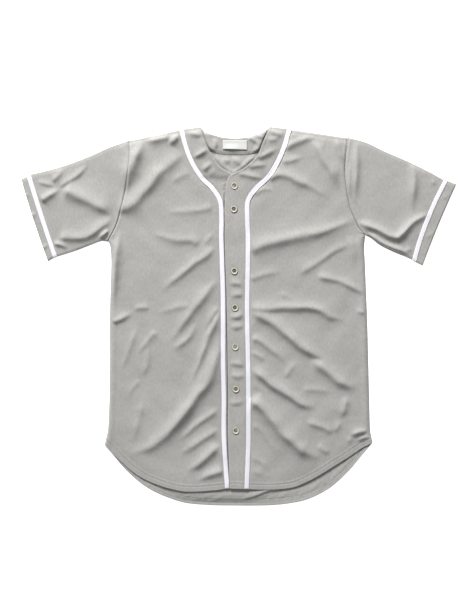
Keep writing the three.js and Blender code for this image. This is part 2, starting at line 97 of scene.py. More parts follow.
def linear(colour):
    """An sRGB hex colour as linear red, green, blue and alpha."""
    channels = [int(colour[i:i + 2], 16) / 255 for i in (0, 2, 4)]
    return tuple(c / 12.92 if c < 0.04045 else ((c + 0.055) / 1.055) ** 2.4 for c in channels) + (1.0,)


def add_node(tree, kind, inputs=None, **settings):
    """A shader node with its settings, and its inputs set to values or linked to sockets."""
    made = tree.nodes.new(kind)
    for setting, value in settings.items():
        setattr(made, setting, value)
    for socket, value in (inputs or {}).items():
        if isinstance(value, bpy.types.NodeSocket):
            tree.links.new(value, made.inputs[socket])
        else:
            made.inputs[socket].default_value = value
    return made


table_top = bpy.data.materials.new("opal_acrylic_sheet")
table_top.use_nodes = True
table_shader = table_top.node_tree.nodes["Principled BSDF"]
table_shader.inputs["Base Color"].default_value = linear("fafafa")
table_shader.inputs["Emission Color"].default_value = linear("ffffff")
table_shader.inputs["Emission Strength"].default_value = FLOOR_GLOW
table_shader.inputs["Roughness"].default_value = 0.7
floor_mesh.materials.append(table_top)

# The cloth is a mid-weight double-knit polyester: two layers of loops knitted face to face, dyed a
# warm light grey. It is matt with a faint sheen on the slopes, and its loops only show close up.
KNIT_COLOUR = "a5a4a1"
KNIT_COLOUR_DEEP = "999895"
WALE_MM = 1.5
COURSE_MM = 1.2
CLOUDS_PER_METRE = 14.0
RIPPLES_PER_METRE = 60.0
FUZZ_PER_METRE = (330.0, 130.0, 200.0)
LOOPS_SHOW = 0.10
FUZZ_SHOWS = 0.28


def new_material(name):
    """A material, its node tree, its main shader, and the places that its patterns are laid out on."""
    material = bpy.data.materials.new(name)
    material.use_nodes = True
    tree = material.node_tree
    place = add_node(tree, "ShaderNodeTexCoord").outputs["Object"]
    return material, tree, tree.nodes["Principled BSDF"], place


def wave_scale(spacing_mm):
    """The Scale of a Wave texture whose bands lie this far apart."""
    return 2 * math.pi / (20 * spacing_mm * MM)


# The real loops are about 0.9 mm apart, and the fuzz on them finer still. The loops are drawn half as
# large again, and the fuzz as flecks 3 by 8 mm, so that they show.
knit, tree, shader, place = new_material("double_knit_polyester")
wales = add_node(tree, "ShaderNodeTexWave", {"Vector": place, "Scale": wave_scale(WALE_MM),
                 "Distortion": 0.6, "Detail Scale": 2.0}, bands_direction="X")
courses = add_node(tree, "ShaderNodeTexWave", {"Vector": place, "Scale": wave_scale(COURSE_MM),
                   "Distortion": 0.6, "Detail Scale": 2.0}, bands_direction="Y")
loops = add_node(tree, "ShaderNodeMath", {0: wales.outputs["Fac"], 1: courses.outputs["Fac"]},
                 operation="MULTIPLY")
cloudy = add_node(tree, "ShaderNodeTexNoise", {"Vector": place, "Scale": CLOUDS_PER_METRE, "Detail": 3.0})
flecks = add_node(tree, "ShaderNodeMapping", {"Vector": place, "Scale": FUZZ_PER_METRE})
fuzz = add_node(tree, "ShaderNodeTexNoise", {"Vector": flecks.outputs["Vector"], "Scale": 1.0, "Detail": 4.0,
                "Roughness": 0.7})
tone = add_node(tree, "ShaderNodeMix", {"Factor": cloudy.outputs["Fac"], "A": linear(KNIT_COLOUR_DEEP),
                "B": linear(KNIT_COLOUR)}, data_type="RGBA")
yarn = add_node(tree, "ShaderNodeMix", {"Factor": LOOPS_SHOW, "A": tone.outputs["Result"],
                "B": loops.outputs["Value"]}, data_type="RGBA", blend_type="OVERLAY")
slub = add_node(tree, "ShaderNodeMix", {"Factor": FUZZ_SHOWS, "A": yarn.outputs["Result"],
                "B": fuzz.outputs["Fac"]}, data_type="RGBA", blend_type="OVERLAY")
tree.links.new(slub.outputs["Result"], shader.inputs["Base Color"])
loop_bump = add_node(tree, "ShaderNodeBump", {"Height": loops.outputs["Value"], "Strength": 0.35,
                     "Distance": 0.25 * MM})
ripple = add_node(tree, "ShaderNodeTexNoise", {"Vector": place, "Scale": RIPPLES_PER_METRE, "Detail": 3.0})
soft_bump = add_node(tree, "ShaderNodeBump", {"Height": ripple.outputs["Fac"], "Strength": 0.25,
                     "Distance": 1.2 * MM, "Normal": loop_bump.outputs["Normal"]})
tree.links.new(soft_bump.outputs["Normal"], shader.inputs["Normal"])
shader.inputs["Roughness"].default_value = 0.86
shader.inputs["Specular IOR Level"].default_value = 0.25
shader.inputs["Sheen Weight"].default_value = 0.12
shader.inputs["Sheen Roughness"].default_value = 0.45

# The back is cut in one piece with a long curved tail. It lies flat on the table, inside up under
# the fronts, and shows in the neck opening and below the front tail, with its hem turned up inside.
WALL = 1.2
GAP = 0.3
LAYER = WALL + GAP
CORNER = {"right": (-277, -268), "left": (277, -262)}
ARM_Y = 165
BRAID_WIDTH = 9.5
HIDDEN_EDGE = 8
# Height, right side seam, middle of the right braid, left front's free edge, left braid, left side
BODY = np.array([
    (-357, -279, -23.6, -18.5, 16.3, 279),
    (-265, -277, -29.9, -21.5, 20, 277),
    (-236, -271, -31, -22, 20.2, 272),
    (-174, -268, -30.6, -22, 20.2, 270),
    (-91, -267, -32.2, -22.5, 19.4, 268),
    (0, -267, -32.2, -24, 17.6, 265.5),
    (60, -265.5, -32.9, -25.5, 18, 263),
    (112, -264, -34.5, -27.5, 19, 261),
    (143, -266, -35.5, -28.5, 19.3, 259.5),
    (170, -272, -36.1, -29, 19.3, 262),
])
BODY_Y, RIGHT_SIDE, RIGHT_BRAID, FREE_EDGE, LEFT_BRAID, LEFT_SIDE = BODY.T
# Place across the body, how low the fronts hang there, how low the back hangs
HEM = np.array([
    (-277, -268, -268), (-260, -285, -287), (-242, -302, -309), (-221, -321, -330), (-198, -336, -349),
    (-173, -347, -364), (-142, -357, -377), (-107, -363, -387), (-49, -360, -391.5), (-18, -356, -392),
    (48, -359, -392), (85, -358, -390), (114, -354, -386), (137, -345, -381), (164, -331, -370),
    (195, -312, -351), (230, -290, -318), (255, -273, -288), (277, -262, -262),
])
HEM_X, FRONT_HEM, BACK_HEM = HEM.T
# From the arm level to the shoulder: armhole, middle of the braid, the front's inner edge, and the
# heights of that edge and of the braid over the layer below
YOKE = {
    "right": np.array([
        (-271, 155, -36.1, 165, 11, 165, 0, 0),
        (-259, 176, -35.6, 200, 10, 205, 0, 0),
        (-250, 197, -38.3, 237, 8, 250, 0, 0),
        (-243, 224, -54.7, 264, -3, 287, 0, 0),
        (-234, 261, -76, 285, -36, 307, 1, 0.3),
        (-229, 298, -95.5, 315, -55, 332, 2.6, 0.8),
        (-226, 333, -108.5, 347, -68, 357, 3, 1),
        (-227, 362, -118.5, 385.5, -79, 391, 0, 0),
    ]),
    "left": np.array([
        (262, 168, 19.3, 165, -29, 165, 1.5, 1.5),
        (250, 180, 18, 200, -29, 208, 1.5, 1.5),
        (240, 199, 19, 237, -27.5, 250, 1.5, 1.5),
        (230, 223, 36.3, 263.5, -21, 287, 1.6, 1.5),
        (223, 257, 59.8, 285.5, 9, 304.5, 2.4, 1.4),
        (219, 292, 78, 313, 37.5, 331, 3, 1.2),
        (220, 327, 92, 344, 51, 362, 3, 1),
        (226, 368, 105, 386, 64.5, 391.5, 0, 0),
    ]),
}
SPANS = len(YOKE["right"]) - 1
# The top edge between each shoulder point and the neck: place across, and how high it is there
RIGHT_SHOULDER = [(-159, 376), (-117, 385.5), (-79, 391)]
LEFT_SHOULDER = [(64.5, 391.5), (103, 386), (147, 380)]
# Place across the neck, the back neckline, the lower edge of the facing
NECK = np.array([
    (-72, 382, 352), (-57, 376, 340), (-35, 370, 334.5), (-8, 367, 333), (19, 370, 334),
    (42, 377, 339.5), (57, 385.5, 353),
])


def curve(knots, values, at):
    """A smooth curve through a table's values, read at any places between its knots."""
    knots = np.asarray(knots, float)
    values = np.asarray(values, float)
    at = np.asarray(at, float)
    slopes = np.empty_like(values)
    slopes[1:-1] = (values[2:] - values[:-2]) / (knots[2:] - knots[:-2])
    slopes[0] = (values[1] - values[0]) / (knots[1] - knots[0])
    slopes[-1] = (values[-1] - values[-2]) / (knots[-1] - knots[-2])
    low = np.clip(np.searchsorted(knots, at) - 1, 0, len(knots) - 2)
    span = knots[low + 1] - knots[low]
    u = np.clip((at - knots[low]) / span, 0, 1)
    return (values[low] * (1 + 2 * u) * (1 - u) ** 2 + slopes[low] * span * u * (1 - u) ** 2
            + values[low + 1] * u * u * (3 - 2 * u) + slopes[low + 1] * span * u * u * (u - 1))


def mix(a, b, share):
    return a + (b - a) * share


def ease(value):
    """0 below 0, 1 above 1, and a soft step between."""
    value = np.clip(value, 0, 1)
    return value * value * (3 - 2 * value)


def mound(distance, reach):
    """A soft ridge: 1 on its crest, 0 past its reach."""
    return (1 + np.cos(np.pi * np.clip(np.abs(distance) / reach, 0, 1))) / 2


def rolling(x, y, size, seed):
    """Gentle uneven swell from 0 to 1, with rises about this many millimetres apart."""
    flat = [noise.noise(Vector((a / size, b / size, seed)))
            for a, b in zip(np.ravel(x), np.ravel(y))]
    return 0.5 + 0.5 * np.reshape(flat, np.shape(x))


def cloth_shell(name, lower, upper, material, closed_around=False):
    """A thin shell between two grids of points in millimetres, joined along its edges."""
    rows, columns = lower.shape[:2]
    points = np.concatenate([lower.reshape(-1, 3), upper.reshape(-1, 3)]) * MM
    across = columns if closed_around else columns - 1
    i, j = np.meshgrid(np.arange(rows - 1), np.arange(across), indexing="ij")
    a, b = i * columns + j, i * columns + (j + 1) % columns
    c, d = b + columns, a + columns
    top = rows * columns
    faces = [np.stack([a, d, c, b], -1).reshape(-1, 4),
             np.stack([a + top, b + top, c + top, d + top], -1).reshape(-1, 4)]
    j = np.arange(across)
    for row, turned in ((0, False), (rows - 1, True)):
        a, b = row * columns + j, row * columns + (j + 1) % columns
        rim = np.stack([a, b, b + top, a + top], -1)
        faces.append(rim[:, ::-1] if turned else rim)
    if not closed_around:
        i = np.arange(rows - 1)
        for column, turned in ((0, True), (columns - 1, False)):
            a, b = i * columns + column, (i + 1) * columns + column
            rim = np.stack([a, b, b + top, a + top], -1)
            faces.append(rim[:, ::-1] if turned else rim)
    mesh = bpy.data.meshes.new(name)
    mesh.from_pydata(points.tolist(), [], np.concatenate(faces).tolist())
    mesh.polygons.foreach_set("use_smooth", [True] * len(mesh.polygons))
    mesh.validate()
    mesh.materials.append(material)
    piece = bpy.data.objects.new(name, mesh)
    bpy.context.scene.collection.objects.link(piece)
    return piece


def stack(x, y, z):
    return np.stack(np.broadcast_arrays(x, y, z), -1).astype(float)


def back_points(across, up):
    """Places on the back: across from the right side seam, up 0 at the tail, 1 at the arms, 2 on top."""
    right, left = YOKE["right"], YOKE["left"]
    sections = range(SPANS + 1)
    low = np.clip(up, 0, 1)
    yoke = np.clip(up - 1, 0, 1) * SPANS
    rise = yoke / SPANS
    hem_x = mix(CORNER["right"][0], CORNER["left"][0], across)
    arm_y = mix(right[0, 1], left[0, 1], across)
    right_x = np.where(up < 1, curve(BODY_Y, RIGHT_SIDE, mix(CORNER["right"][1], right[0, 1], low)),
                       curve(sections, right[:, 0], yoke))
    left_x = np.where(up < 1, curve(BODY_Y, LEFT_SIDE, mix(CORNER["left"][1], left[0, 1], low)),
                      curve(sections, left[:, 0], yoke))
    x = mix(right_x, left_x, across)
    top = np.array([right[-1, :2], *RIGHT_SHOULDER, *NECK[:, :2], *LEFT_SHOULDER, left[-1, :2]])
    top_y = np.interp(mix(right[-1, 0], left[-1, 0], across), top[:, 0], top[:, 1])
    right_y = curve(sections, right[:, 1], yoke) - mix(right[0, 1], right[-1, 1], rise)
    left_y = curve(sections, left[:, 1], yoke) - mix(left[0, 1], left[-1, 1], rise)
    y = np.where(up < 1, mix(curve(HEM_X, BACK_HEM, hem_x), arm_y, low),
                 mix(arm_y, top_y, rise) + mix(right_y, left_y, across))
    return x, y


# A fold: height, reach of its lit slope, reach of its shaded slope, and the line of its crest. It
# rises quickly at one end, on the fronts the one nearer the placket, and dies away slowly to the other.
NECK_FOLDS = [
    (2.8, 5, 5, [(18, 374), (31, 364), (46, 353)]),
    (2.2, 4, 5, [(34, 378), (43, 371), (53, 368)]),
    (2.2, 5, 5, [(-54, 370), (-48, 358), (-50, 345)]),
    (2.8, 6, 6, [(-14, 330), (-4, 319), (6, 307)]),
    (2.2, 5, 6, [(-34, 330), (-26, 321), (-14, 317)]),
]
LIT_SIDE = (-0.29, 0.957)
LIT_SPREAD = 2.3
SHADE_SPREAD = 1.75
FOLD_RISE = 1.35
FOLD_TAIL = 4
INNER_FADE = 12
OUTER_FADE = 0.45
SLEEVES_FROM = 240
WANDER = 6


def folded(x, y, folds):
    """The height that folds add to the cloth. Where folds cross, they run into each other."""
    wander_x = x + WANDER * (rolling(x, y, 34, 3.5) - 0.5)
    wander_y = y + WANDER * (rolling(x, y, 34, 9.5) - 0.5)
    fullness = 0.78 + 0.44 * rolling(x, y, 27, 14.5)
    squares = np.zeros(np.shape(x))
    for height, lit, shade, crest in folds:
        reach = FOLD_TAIL * max(lit, shade)
        crest = np.array(crest, float)
        (low_x, low_y), (high_x, high_y) = crest.min(0) - reach, crest.max(0) + reach
        near = (wander_x > low_x) & (wander_x < high_x) & (wander_y > low_y) & (wander_y < high_y)
        if not near.any():
            continue
        steps = np.linspace(0, len(crest) - 1, 6 * (len(crest) - 1) + 1)
        line = np.stack([curve(range(len(crest)), crest[:, axis], steps) for axis in (0, 1)], -1)
        if abs(crest[-1, 0]) < abs(crest[0, 0]) < SLEEVES_FROM:
            line = line[::-1]
        length = np.hypot(*np.diff(line, axis=0).T).sum()
        lean = (line[1, 1] - line[0, 1]) / np.hypot(*(line[1] - line[0]))
        inner_fade = mix(INNER_FADE, max(0.4 * length, INNER_FADE), lean ** 2)
        px, py = wander_x[near], wander_y[near]
        nearest = np.full(px.shape, 1e9)
        along_crest = np.zeros(px.shape)
        lit_share = np.zeros(px.shape)
        for k, ((ax, ay), (bx, by)) in enumerate(zip(line[:-1], line[1:])):
            dx, dy = bx - ax, by - ay
            u = np.clip(((px - ax) * dx + (py - ay) * dy) / (dx * dx + dy * dy), 0, 1)
            off_x, off_y = px - ax - u * dx, py - ay - u * dy
            distance = np.hypot(off_x, off_y)
            closer = distance < nearest
            nearest = np.where(closer, distance, nearest)
            along_crest = np.where(closer, (k + u) / (len(line) - 1), along_crest)
            toward_lamp = (off_x * LIT_SIDE[0] + off_y * LIT_SIDE[1]) / np.maximum(distance, 0.01)
            lit_share = np.where(closer, 0.5 + 0.5 * np.clip(2 * toward_lamp, -1, 1), lit_share)
        end = ease(along_crest * length / inner_fade + 0.12) * ease((1 - along_crest) / OUTER_FADE + 0.08)
        width = mix(SHADE_SPREAD * shade, LIT_SPREAD * lit, lit_share) * (0.6 + 0.4 * end)
        slope = (1 + (2 * nearest / width) ** 2) ** -1.5 * ease((reach - nearest) / (0.5 * reach))
        squares[near] += (FOLD_RISE * height * end * slope) ** 2
    return np.sqrt(squares) * fullness


NECK_RIDGE = 2.9
NECK_RUMPLE = 0.9
NECK_SHOWS_FROM, NECK_SHOWS_TO = 285, 332
NECK_SECTIONS = slice(3, None)


def neck_ridge(x, y):
    """The height to which the layers in the neck opening swell just inside the fronts' edges."""
    right, left = (YOKE[side][NECK_SECTIONS, 4:6] for side in ("right", "left"))
    gaps = [sign * (x - np.interp(y, edge[:, 1], edge[:, 0])) for sign, edge in ((1, right), (-1, left))]
    gap = 0.8 * np.minimum(*gaps)
    return NECK_RIDGE * ease(gap / 3) * (1 - ease((gap - 3.5) / 10)) * (gap > 0)


def neck_relief(x, y):
    """The creases and soft swell of the back that show in the neck opening, below the facing."""
    rumple = NECK_RUMPLE * rolling(x * 0.8 + y * 0.6, y * 2.2 - x, 16, 3.0)
    shown = ease((y - NECK_SHOWS_FROM) / 12) * ease((NECK_SHOWS_TO - y) / 10)
    ridge = neck_ridge(x, y) * ease((NECK_SHOWS_TO - y) / 6)
    return (folded(x, y, NECK_FOLDS) + rumple) * shown + ridge


# The tail lifts toward the fronts' edge, most in its middle, and rolls at its own edge. Between two
# places across, it lifts in one short step beside its hem, and one crease crosses it on the left.
TAIL_LIFT = 4.2
TAIL_MIDDLE = -40
TAIL_REACH = 190
TAIL_RISE = 2.4
TAIL_SWELL = 1.5
STEP_X = (-175, 52)
CREASE_X = (0, 30, 54, 75, 100, 120)
CREASE_RISE = (9, 15, 24, 29.5, 32.5, 34)
HEM_ROLL = 0.9
HEM_STRIP = 6
PUCKER = 1.2
UNDER_FRONT = 60
STITCH_DEPTH = 0.5


def tail_relief(x, from_hem, below_front, tail_shows):
    """The height of the tail's lift, crease, puckers and swell, which fade out under the fronts."""
    above_crease = from_hem - curve(CREASE_X, CREASE_RISE, np.clip(x, CREASE_X[0], CREASE_X[-1]))
    crease_shows = ease(x / 35) * ease((CREASE_X[-1] - x) / 30)
    step_shows = ease((x - STEP_X[0]) / 50) * ease((STEP_X[1] - x) / 40)
    even_lift = np.clip((from_hem - HEM_STRIP) / np.maximum(tail_shows - HEM_STRIP, 1), 0, 1)
    step_lift = np.interp(from_hem - HEM_STRIP, [0, 8, 16, 26], [0, 0.68, 0.92, 1])
    puckers = rolling(x * 1.2, from_hem * 0.7, 7, 5.0) * mound(from_hem - 9, 9)
    swell = rolling(x - from_hem, from_hem * 0.9, 16, 12.0) * mound(from_hem - 18, 14)
    height = HEM_ROLL * (1 - ease(from_hem / 8))
    height += PUCKER * puckers * (0.5 + 0.5 * ease((-20 - x) / 50))
    height += TAIL_LIFT * mound(x - TAIL_MIDDLE, TAIL_REACH) * mix(even_lift, step_lift, step_shows)
    height += TAIL_RISE * crease_shows * ease(above_crease / 5) * ease((20 - above_crease) / 16)
    height += TAIL_SWELL * swell * ease((tail_shows - 10) / 16)
    return height * ease(from_hem / 0.8) * (1 - ease(-below_front / UNDER_FRONT))


def narrow(distance, width):
    """A narrow dip or ridge: 1 on its line, and next to nothing at twice this width from it."""
    return np.exp(-(distance / width) ** 2)


def stitch_groove(distance, depth=STITCH_DEPTH):
    """How far a row of tight stitches pulls the cloth in at this distance from it."""
    return depth * narrow(distance, 0.9)


BACK_LENGTH = 540
HEM_TURN = 11
HEM_TURN_RISE = 0.4
HEM_LINES = (10, 12.5)
EDGE_ROUND = 1.2
hem_steps = np.array([0, 0.7, 1.6, 2.8, *np.arange(4, 60, 1.2)]) / BACK_LENGTH
back_up = np.concatenate([hem_steps, np.linspace(0.115, 1, 90), np.linspace(1, 2, 62)[1:]])
back_across = np.linspace(0, 1, 190)
back_x, back_y = back_points(back_across[None, :], back_up[:, None])
hem_distance = back_y - curve(HEM_X, BACK_HEM, back_x)
below_front = curve(HEM_X, FRONT_HEM, back_x) - back_y
tail_shows = curve(HEM_X, FRONT_HEM, back_x) - curve(HEM_X, BACK_HEM, back_x)
tail_height = tail_relief(back_x, hem_distance, below_front, tail_shows)
back_top = WALL + HEM_TURN_RISE * (1 - ease((hem_distance - HEM_TURN) / 1.5))
back_top += tail_height + neck_relief(back_x, back_y)
back_top -= 0.2 * (1 - ease(hem_distance / EDGE_ROUND)) ** 2
for line in HEM_LINES:
    back_top -= stitch_groove(hem_distance - line)
back_low = np.maximum(tail_height - 0.4, 0) * (1 - ease(-below_front / UNDER_FRONT))
back = cloth_shell("back_panel", stack(back_x, back_y, back_low), stack(back_x, back_y, back_top), knit)
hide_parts("back")
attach(back, "root")

# The two fronts are cut alike and meet under seven buttons, the wearer's left over the right. Their
# inner edges are turned in to make the placket, and each carries a braid. They lie on the back with
# the soft folds of a shirt smoothed out by hand: long drags from the buttons, and small crumples.
FOLDS = {
    "right": [
        (8.6, 15, 18, [(-198, 364), (-213, 326), (-224, 296), (-236, 250)]),
        (6, 16, 16, [(-250, 214), (-221, 230), (-202, 246), (-171, 288), (-132, 323), (-110, 339)]),
        (5.5, 6, 14, [(-194, 365), (-169, 370), (-142, 375)]),
        (4.5, 6, 8, [(-146, 352), (-134, 364), (-124, 375)]),
        (1.4, 8, 8, [(-138, 273), (-122, 288), (-97, 296)]),
        (1.7, 8, 8, [(-153, 214), (-101, 217), (-51, 224)]),
        (2.6, 10, 8, [(-188, 174), (-132, 157), (-97, 155), (-82, 143)]),
        (1.4, 6, 6, [(-74, 143), (-62, 157), (-51, 172)]),
        (3.5, 9, 9, [(-163, 48), (-122, 83), (-80, 116), (-51, 139)]),
        (4.5, 11, 11, [(-142, -50), (-113, -12), (-86, 25), (-43, 77)]),
        (2.4, 8, 8, [(-138, -72), (-107, -48), (-86, -12)]),
        (2.1, 8, 6, [(-74, -35), (-55, 2), (-43, 19)]),
        (4, 6, 10, [(-105, -159), (-82, -95), (-66, -50), (-50, -16), (-40, 12)]),
        (7.6, 15, 15, [(-229, -288), (-184, -273), (-142, -236), (-101, -188), (-66, -137), (-48, -90),
                       (-38, -40)]),
        (2.9, 7, 8, [(-126, -259), (-84, -224), (-43, -193)]),
        (2.9, 8, 8, [(-122, -288), (-80, -261), (-41, -232)]),
        (5, 10, 12, [(-109, -323), (-72, -296), (-38, -266)]),
        (4.4, 8, 8, [(-86, -342), (-49, -325), (-33, -319)]),
        (6.5, 7, 13, [(-244, 178), (-252, 130), (-257, 84), (-262, 20)]),
        (3.5, 7, 6, [(-262, -13), (-246, -6), (-221, 10)]),
        (2.4, 6, 6, [(-221, 14), (-200, 17), (-184, 14)]),
        (1.8, 7, 8, [(-173, 6), (-122, 18), (-101, 21)]),
        (1.8, 6, 6, [(-244, -112), (-221, -54), (-206, -19)]),
        (2.1, 5, 8, [(-215, -85), (-184, -46), (-169, -29)]),
        (1.8, 8, 8, [(-202, -132), (-190, -101), (-186, -46)]),
        (1.2, 6, 6, [(-229, -170), (-219, -149), (-204, -132)]),
        (1.8, 10, 8, [(-221, -269), (-206, -211), (-198, -174)]),
        (3.5, 6, 6, [(-95, 325), (-80, 334), (-66, 346)]),
        (3.1, 6, 6, [(-78, 300), (-66, 306), (-56, 318)]),
        (3.5, 6, 6, [(-106, 380), (-91, 374), (-76, 371)]),
        (1.4, 6, 6, [(-62, 292), (-45, 304)]),
    ],
    "left": [
        (3.8, 7, 9, [(94, 342), (127, 362), (164, 374)]),
        (1.7, 5, 6, [(106, 368), (119, 376), (129, 380)]),
        (3, 6, 6, [(38, 326), (56, 334), (82, 345)]),
        (2.8, 6, 6, [(64, 386), (78, 379), (93, 371)]),
        (2, 5, 5, [(58, 368), (72, 365), (86, 372)]),
        (2.4, 6, 6, [(17, 306), (36, 310), (65, 310)]),
        (2.4, 6, 6, [(-4, 293), (15, 291), (34, 287), (52, 284)]),
        (2.2, 8, 7, [(87, 319), (106, 321), (133, 329)]),
        (3.9, 11, 10, [(61, 286), (81, 292), (102, 288), (143, 269), (189, 246)]),
        (1.7, 7, 8, [(29, 250), (46, 261), (73, 261)]),
        (1.7, 5, 6, [(185, 373), (203, 371), (216, 360)]),
        (5.6, 14, 15, [(22, 131), (48, 145), (75, 153), (137, 166), (199, 182), (247, 205)]),
        (2.2, 9, 6, [(123, 81), (164, 112), (210, 139), (230, 151)]),
        (1.8, 8, 6, [(23, 77), (44, 83), (90, 93)]),
        (3, 9, 7, [(160, 81), (210, 71), (241, 54), (258, 47)]),
        (2.2, 8, 14, [(230, 168), (234, 137), (243, 99)]),
        (1.3, 6, 5, [(81, 46), (100, 37), (121, 29)]),
        (4.3, 11, 9, [(23, 13), (96, 16), (158, 14), (189, -2), (224, -12)]),
        (5.8, 13, 11, [(23, 8), (69, -14), (110, -48), (152, -77), (190, -96)]),
        (5.4, 13, 12, [(148, -90), (185, -118), (214, -139), (244, -152)]),
        (2.4, 8, 7, [(27, -48), (46, -52), (77, -77), (104, -103)]),
        (1.9, 6, 6, [(25, -75), (40, -83), (56, -93)]),
        (1.7, 6, 6, [(94, -128), (106, -112), (123, -91)]),
        (5.4, 12, 9, [(25, -110), (65, -139), (127, -182), (160, -190)]),
        (1.3, 6, 6, [(27, -141), (44, -151), (61, -164)]),
        (7.1, 15, 14, [(22, -172), (44, -188), (81, -230), (123, -272), (141, -284), (168, -291)]),
        (1.3, 6, 6, [(27, -224), (48, -240), (85, -294)]),
        (1.1, 6, 6, [(27, -290), (48, -302), (69, -315)]),
        (1.1, 6, 6, [(29, -315), (52, -329)]),
        (3.2, 8, 10, [(222, -160), (219, -186), (214, -212)]),
        (2.4, 8, 7, [(137, -217), (179, -234), (191, -248)]),
        (4, 6, 6, [(232, -248), (250, -240), (266, -236)]),
        (2.4, 4, 4, [(243, -260), (257, -252), (270, -249)]),
        (1.7, 5, 5, [(224, -259), (236, -253)]),
        (2.2, 6, 6, [(160, -265), (174, -275), (189, -286)]),
        (1.7, 6, 7, [(195, -242), (203, -230), (212, -215)]),
        (1.3, 7, 8, [(133, -151), (158, -153), (205, -157)]),
        (2.2, 5, 5, [(241, 10), (263, 8)]),
        (4.4, 10, 12, [(150, 364), (172, 331), (194, 293), (207, 256)]),
        (2.5, 7, 6, [(196, 372), (206, 340), (212, 312)]),
        (1.8, 6, 6, [(158, 352), (170, 351), (182, 347)]),
        (2.1, 7, 4, [(-20, 64), (-6, 66), (10, 62)]),
        (2.1, 7, 4, [(-20, 40), (-4, 43), (10, 41)]),
        (3.3, 7, 4, [(-20, 2), (-4, -2), (11, 4)]),
        (2.2, 7, 4, [(-20, -20), (-4, -23), (11, -20)]),
        (2.2, 7, 4, [(-19, -102), (-4, -100), (12, -103)]),
        (2, 7, 4, [(-19, -122), (-4, -125), (12, -123)]),
        (2.1, 7, 4, [(-19, -180), (-4, -181), (12, -178)]),
    ],
}
FOLDS["sleeves"] = [
    (6.2, 16, 15, [(-364, 261), (-329, 246), (-287, 226), (-262, 209)]),
    (4.7, 8, 10, [(-409, 234), (-395, 246), (-370, 265)]),
    (2.7, 8, 7, [(-387, 279), (-372, 289), (-358, 305)]),
    (2.7, 8, 7, [(-370, 267), (-333, 290), (-310, 317)]),
    (2, 6, 6, [(-418, 279), (-399, 275), (-380, 269)]),
    (4, 5, 4, [(-268, 178), (-276, 168), (-290, 160)]),
    (3, 6, 5, [(-384, 148), (-366, 146), (-350, 140)]),
    (4.3, 12, 9, [(-372, 160), (-330, 160), (-300, 172), (-276, 188), (-262, 204)]),
    (1.6, 5, 6, [(-244, 356), (-239, 344), (-234, 329)]),
    (4.5, 8, 8, [(242, 362), (243, 302), (239, 230)]),
    (2.8, 4, 6, [(229, 323), (229, 282), (232, 240)]),
    (4.5, 9, 11, [(358, 322), (361, 290), (361, 252), (363, 212)]),
    (6, 8, 10, [(245, 196), (286, 180), (321, 163), (336, 169), (358, 190), (384, 206), (400, 214)]),
    (5.5, 6, 4, [(263, 175), (290, 155), (312, 143), (336, 132), (354, 124)]),
    (1.5, 5, 6, [(338, 130), (359, 139)]),
    (1.2, 6, 6, [(392, 277), (408, 273)]),
    (3.2, 4, 4, [(-451, 238), (-443, 243), (-433, 252)]),
    (4.5, 4, 6, [(-440, 196), (-431, 203), (-420, 214)]),
    (2.5, 4, 4, [(-412, 138), (-403, 143), (-396, 150)]),
    (1.2, 4, 4, [(440, 256), (430, 246), (418, 240)]),
    (1.2, 4, 4, [(404, 176), (396, 166), (386, 160)]),
]
PLACKET_X = -4
BUTTONS = [(-9, 269), (-10, 221), (-9, 93), (-8, 17), (-7, -64), (-6, -151), (-6, -237)]
BUTTON_RADIUS = 7.5


def drags(x, y):
    """Long shallow undulations, 0 to 1, that run down and away from the buttons on either front."""
    away, side = np.abs(x - PLACKET_X), np.sign(x - PLACKET_X)
    along_drag, across_drag = away * 0.66 + y * 0.75, y * 0.66 - away * 0.75
    small = rolling(along_drag / 4.5, across_drag, 26, 21.0)
    large = rolling(along_drag / 3 + 40 * side, across_drag, 48, 33.0)
    return 0.6 * small + 0.4 * large


def relief(x, y):
    """The height of all folds seen on the fronts and sleeves. Each button holds the cloth down."""
    held = np.ones(np.shape(x))
    for button_x, button_y in BUTTONS:
        held *= ease((np.hypot(x - button_x, y - button_y) - BUTTON_RADIUS - 0.5) / 7)
    return folded(x, y, [fold for group in FOLDS.values() for fold in group]) * held


# How far a front stands up along its tail, its neck edge, its side seam and the right braid, at the
# roll low on that braid, and at the left front's free edge. The last two are largest at one height up
# the body, and reach this far from it.
HEM_LIFT = 0.5
NECK_STAND = 1.4
SIDE_STAND = 1.6
BRAID_EDGE_STAND = 1.7
BRAID_ROLL, BRAID_ROLL_Y, BRAID_ROLL_REACH = 2.4, -282, 62
FREE_EDGE_STAND, FREE_EDGE_Y, FREE_EDGE_REACH = 1.2, -285, 80
# How high up the right braid's edge stands, how much of a fold the braid's stitches hold down, and how
# high up the left front covers the right one
BRAID_EDGE_TOP = 245
BRAID_HOLDS = 0.75
OVERLAP_TOP = 292


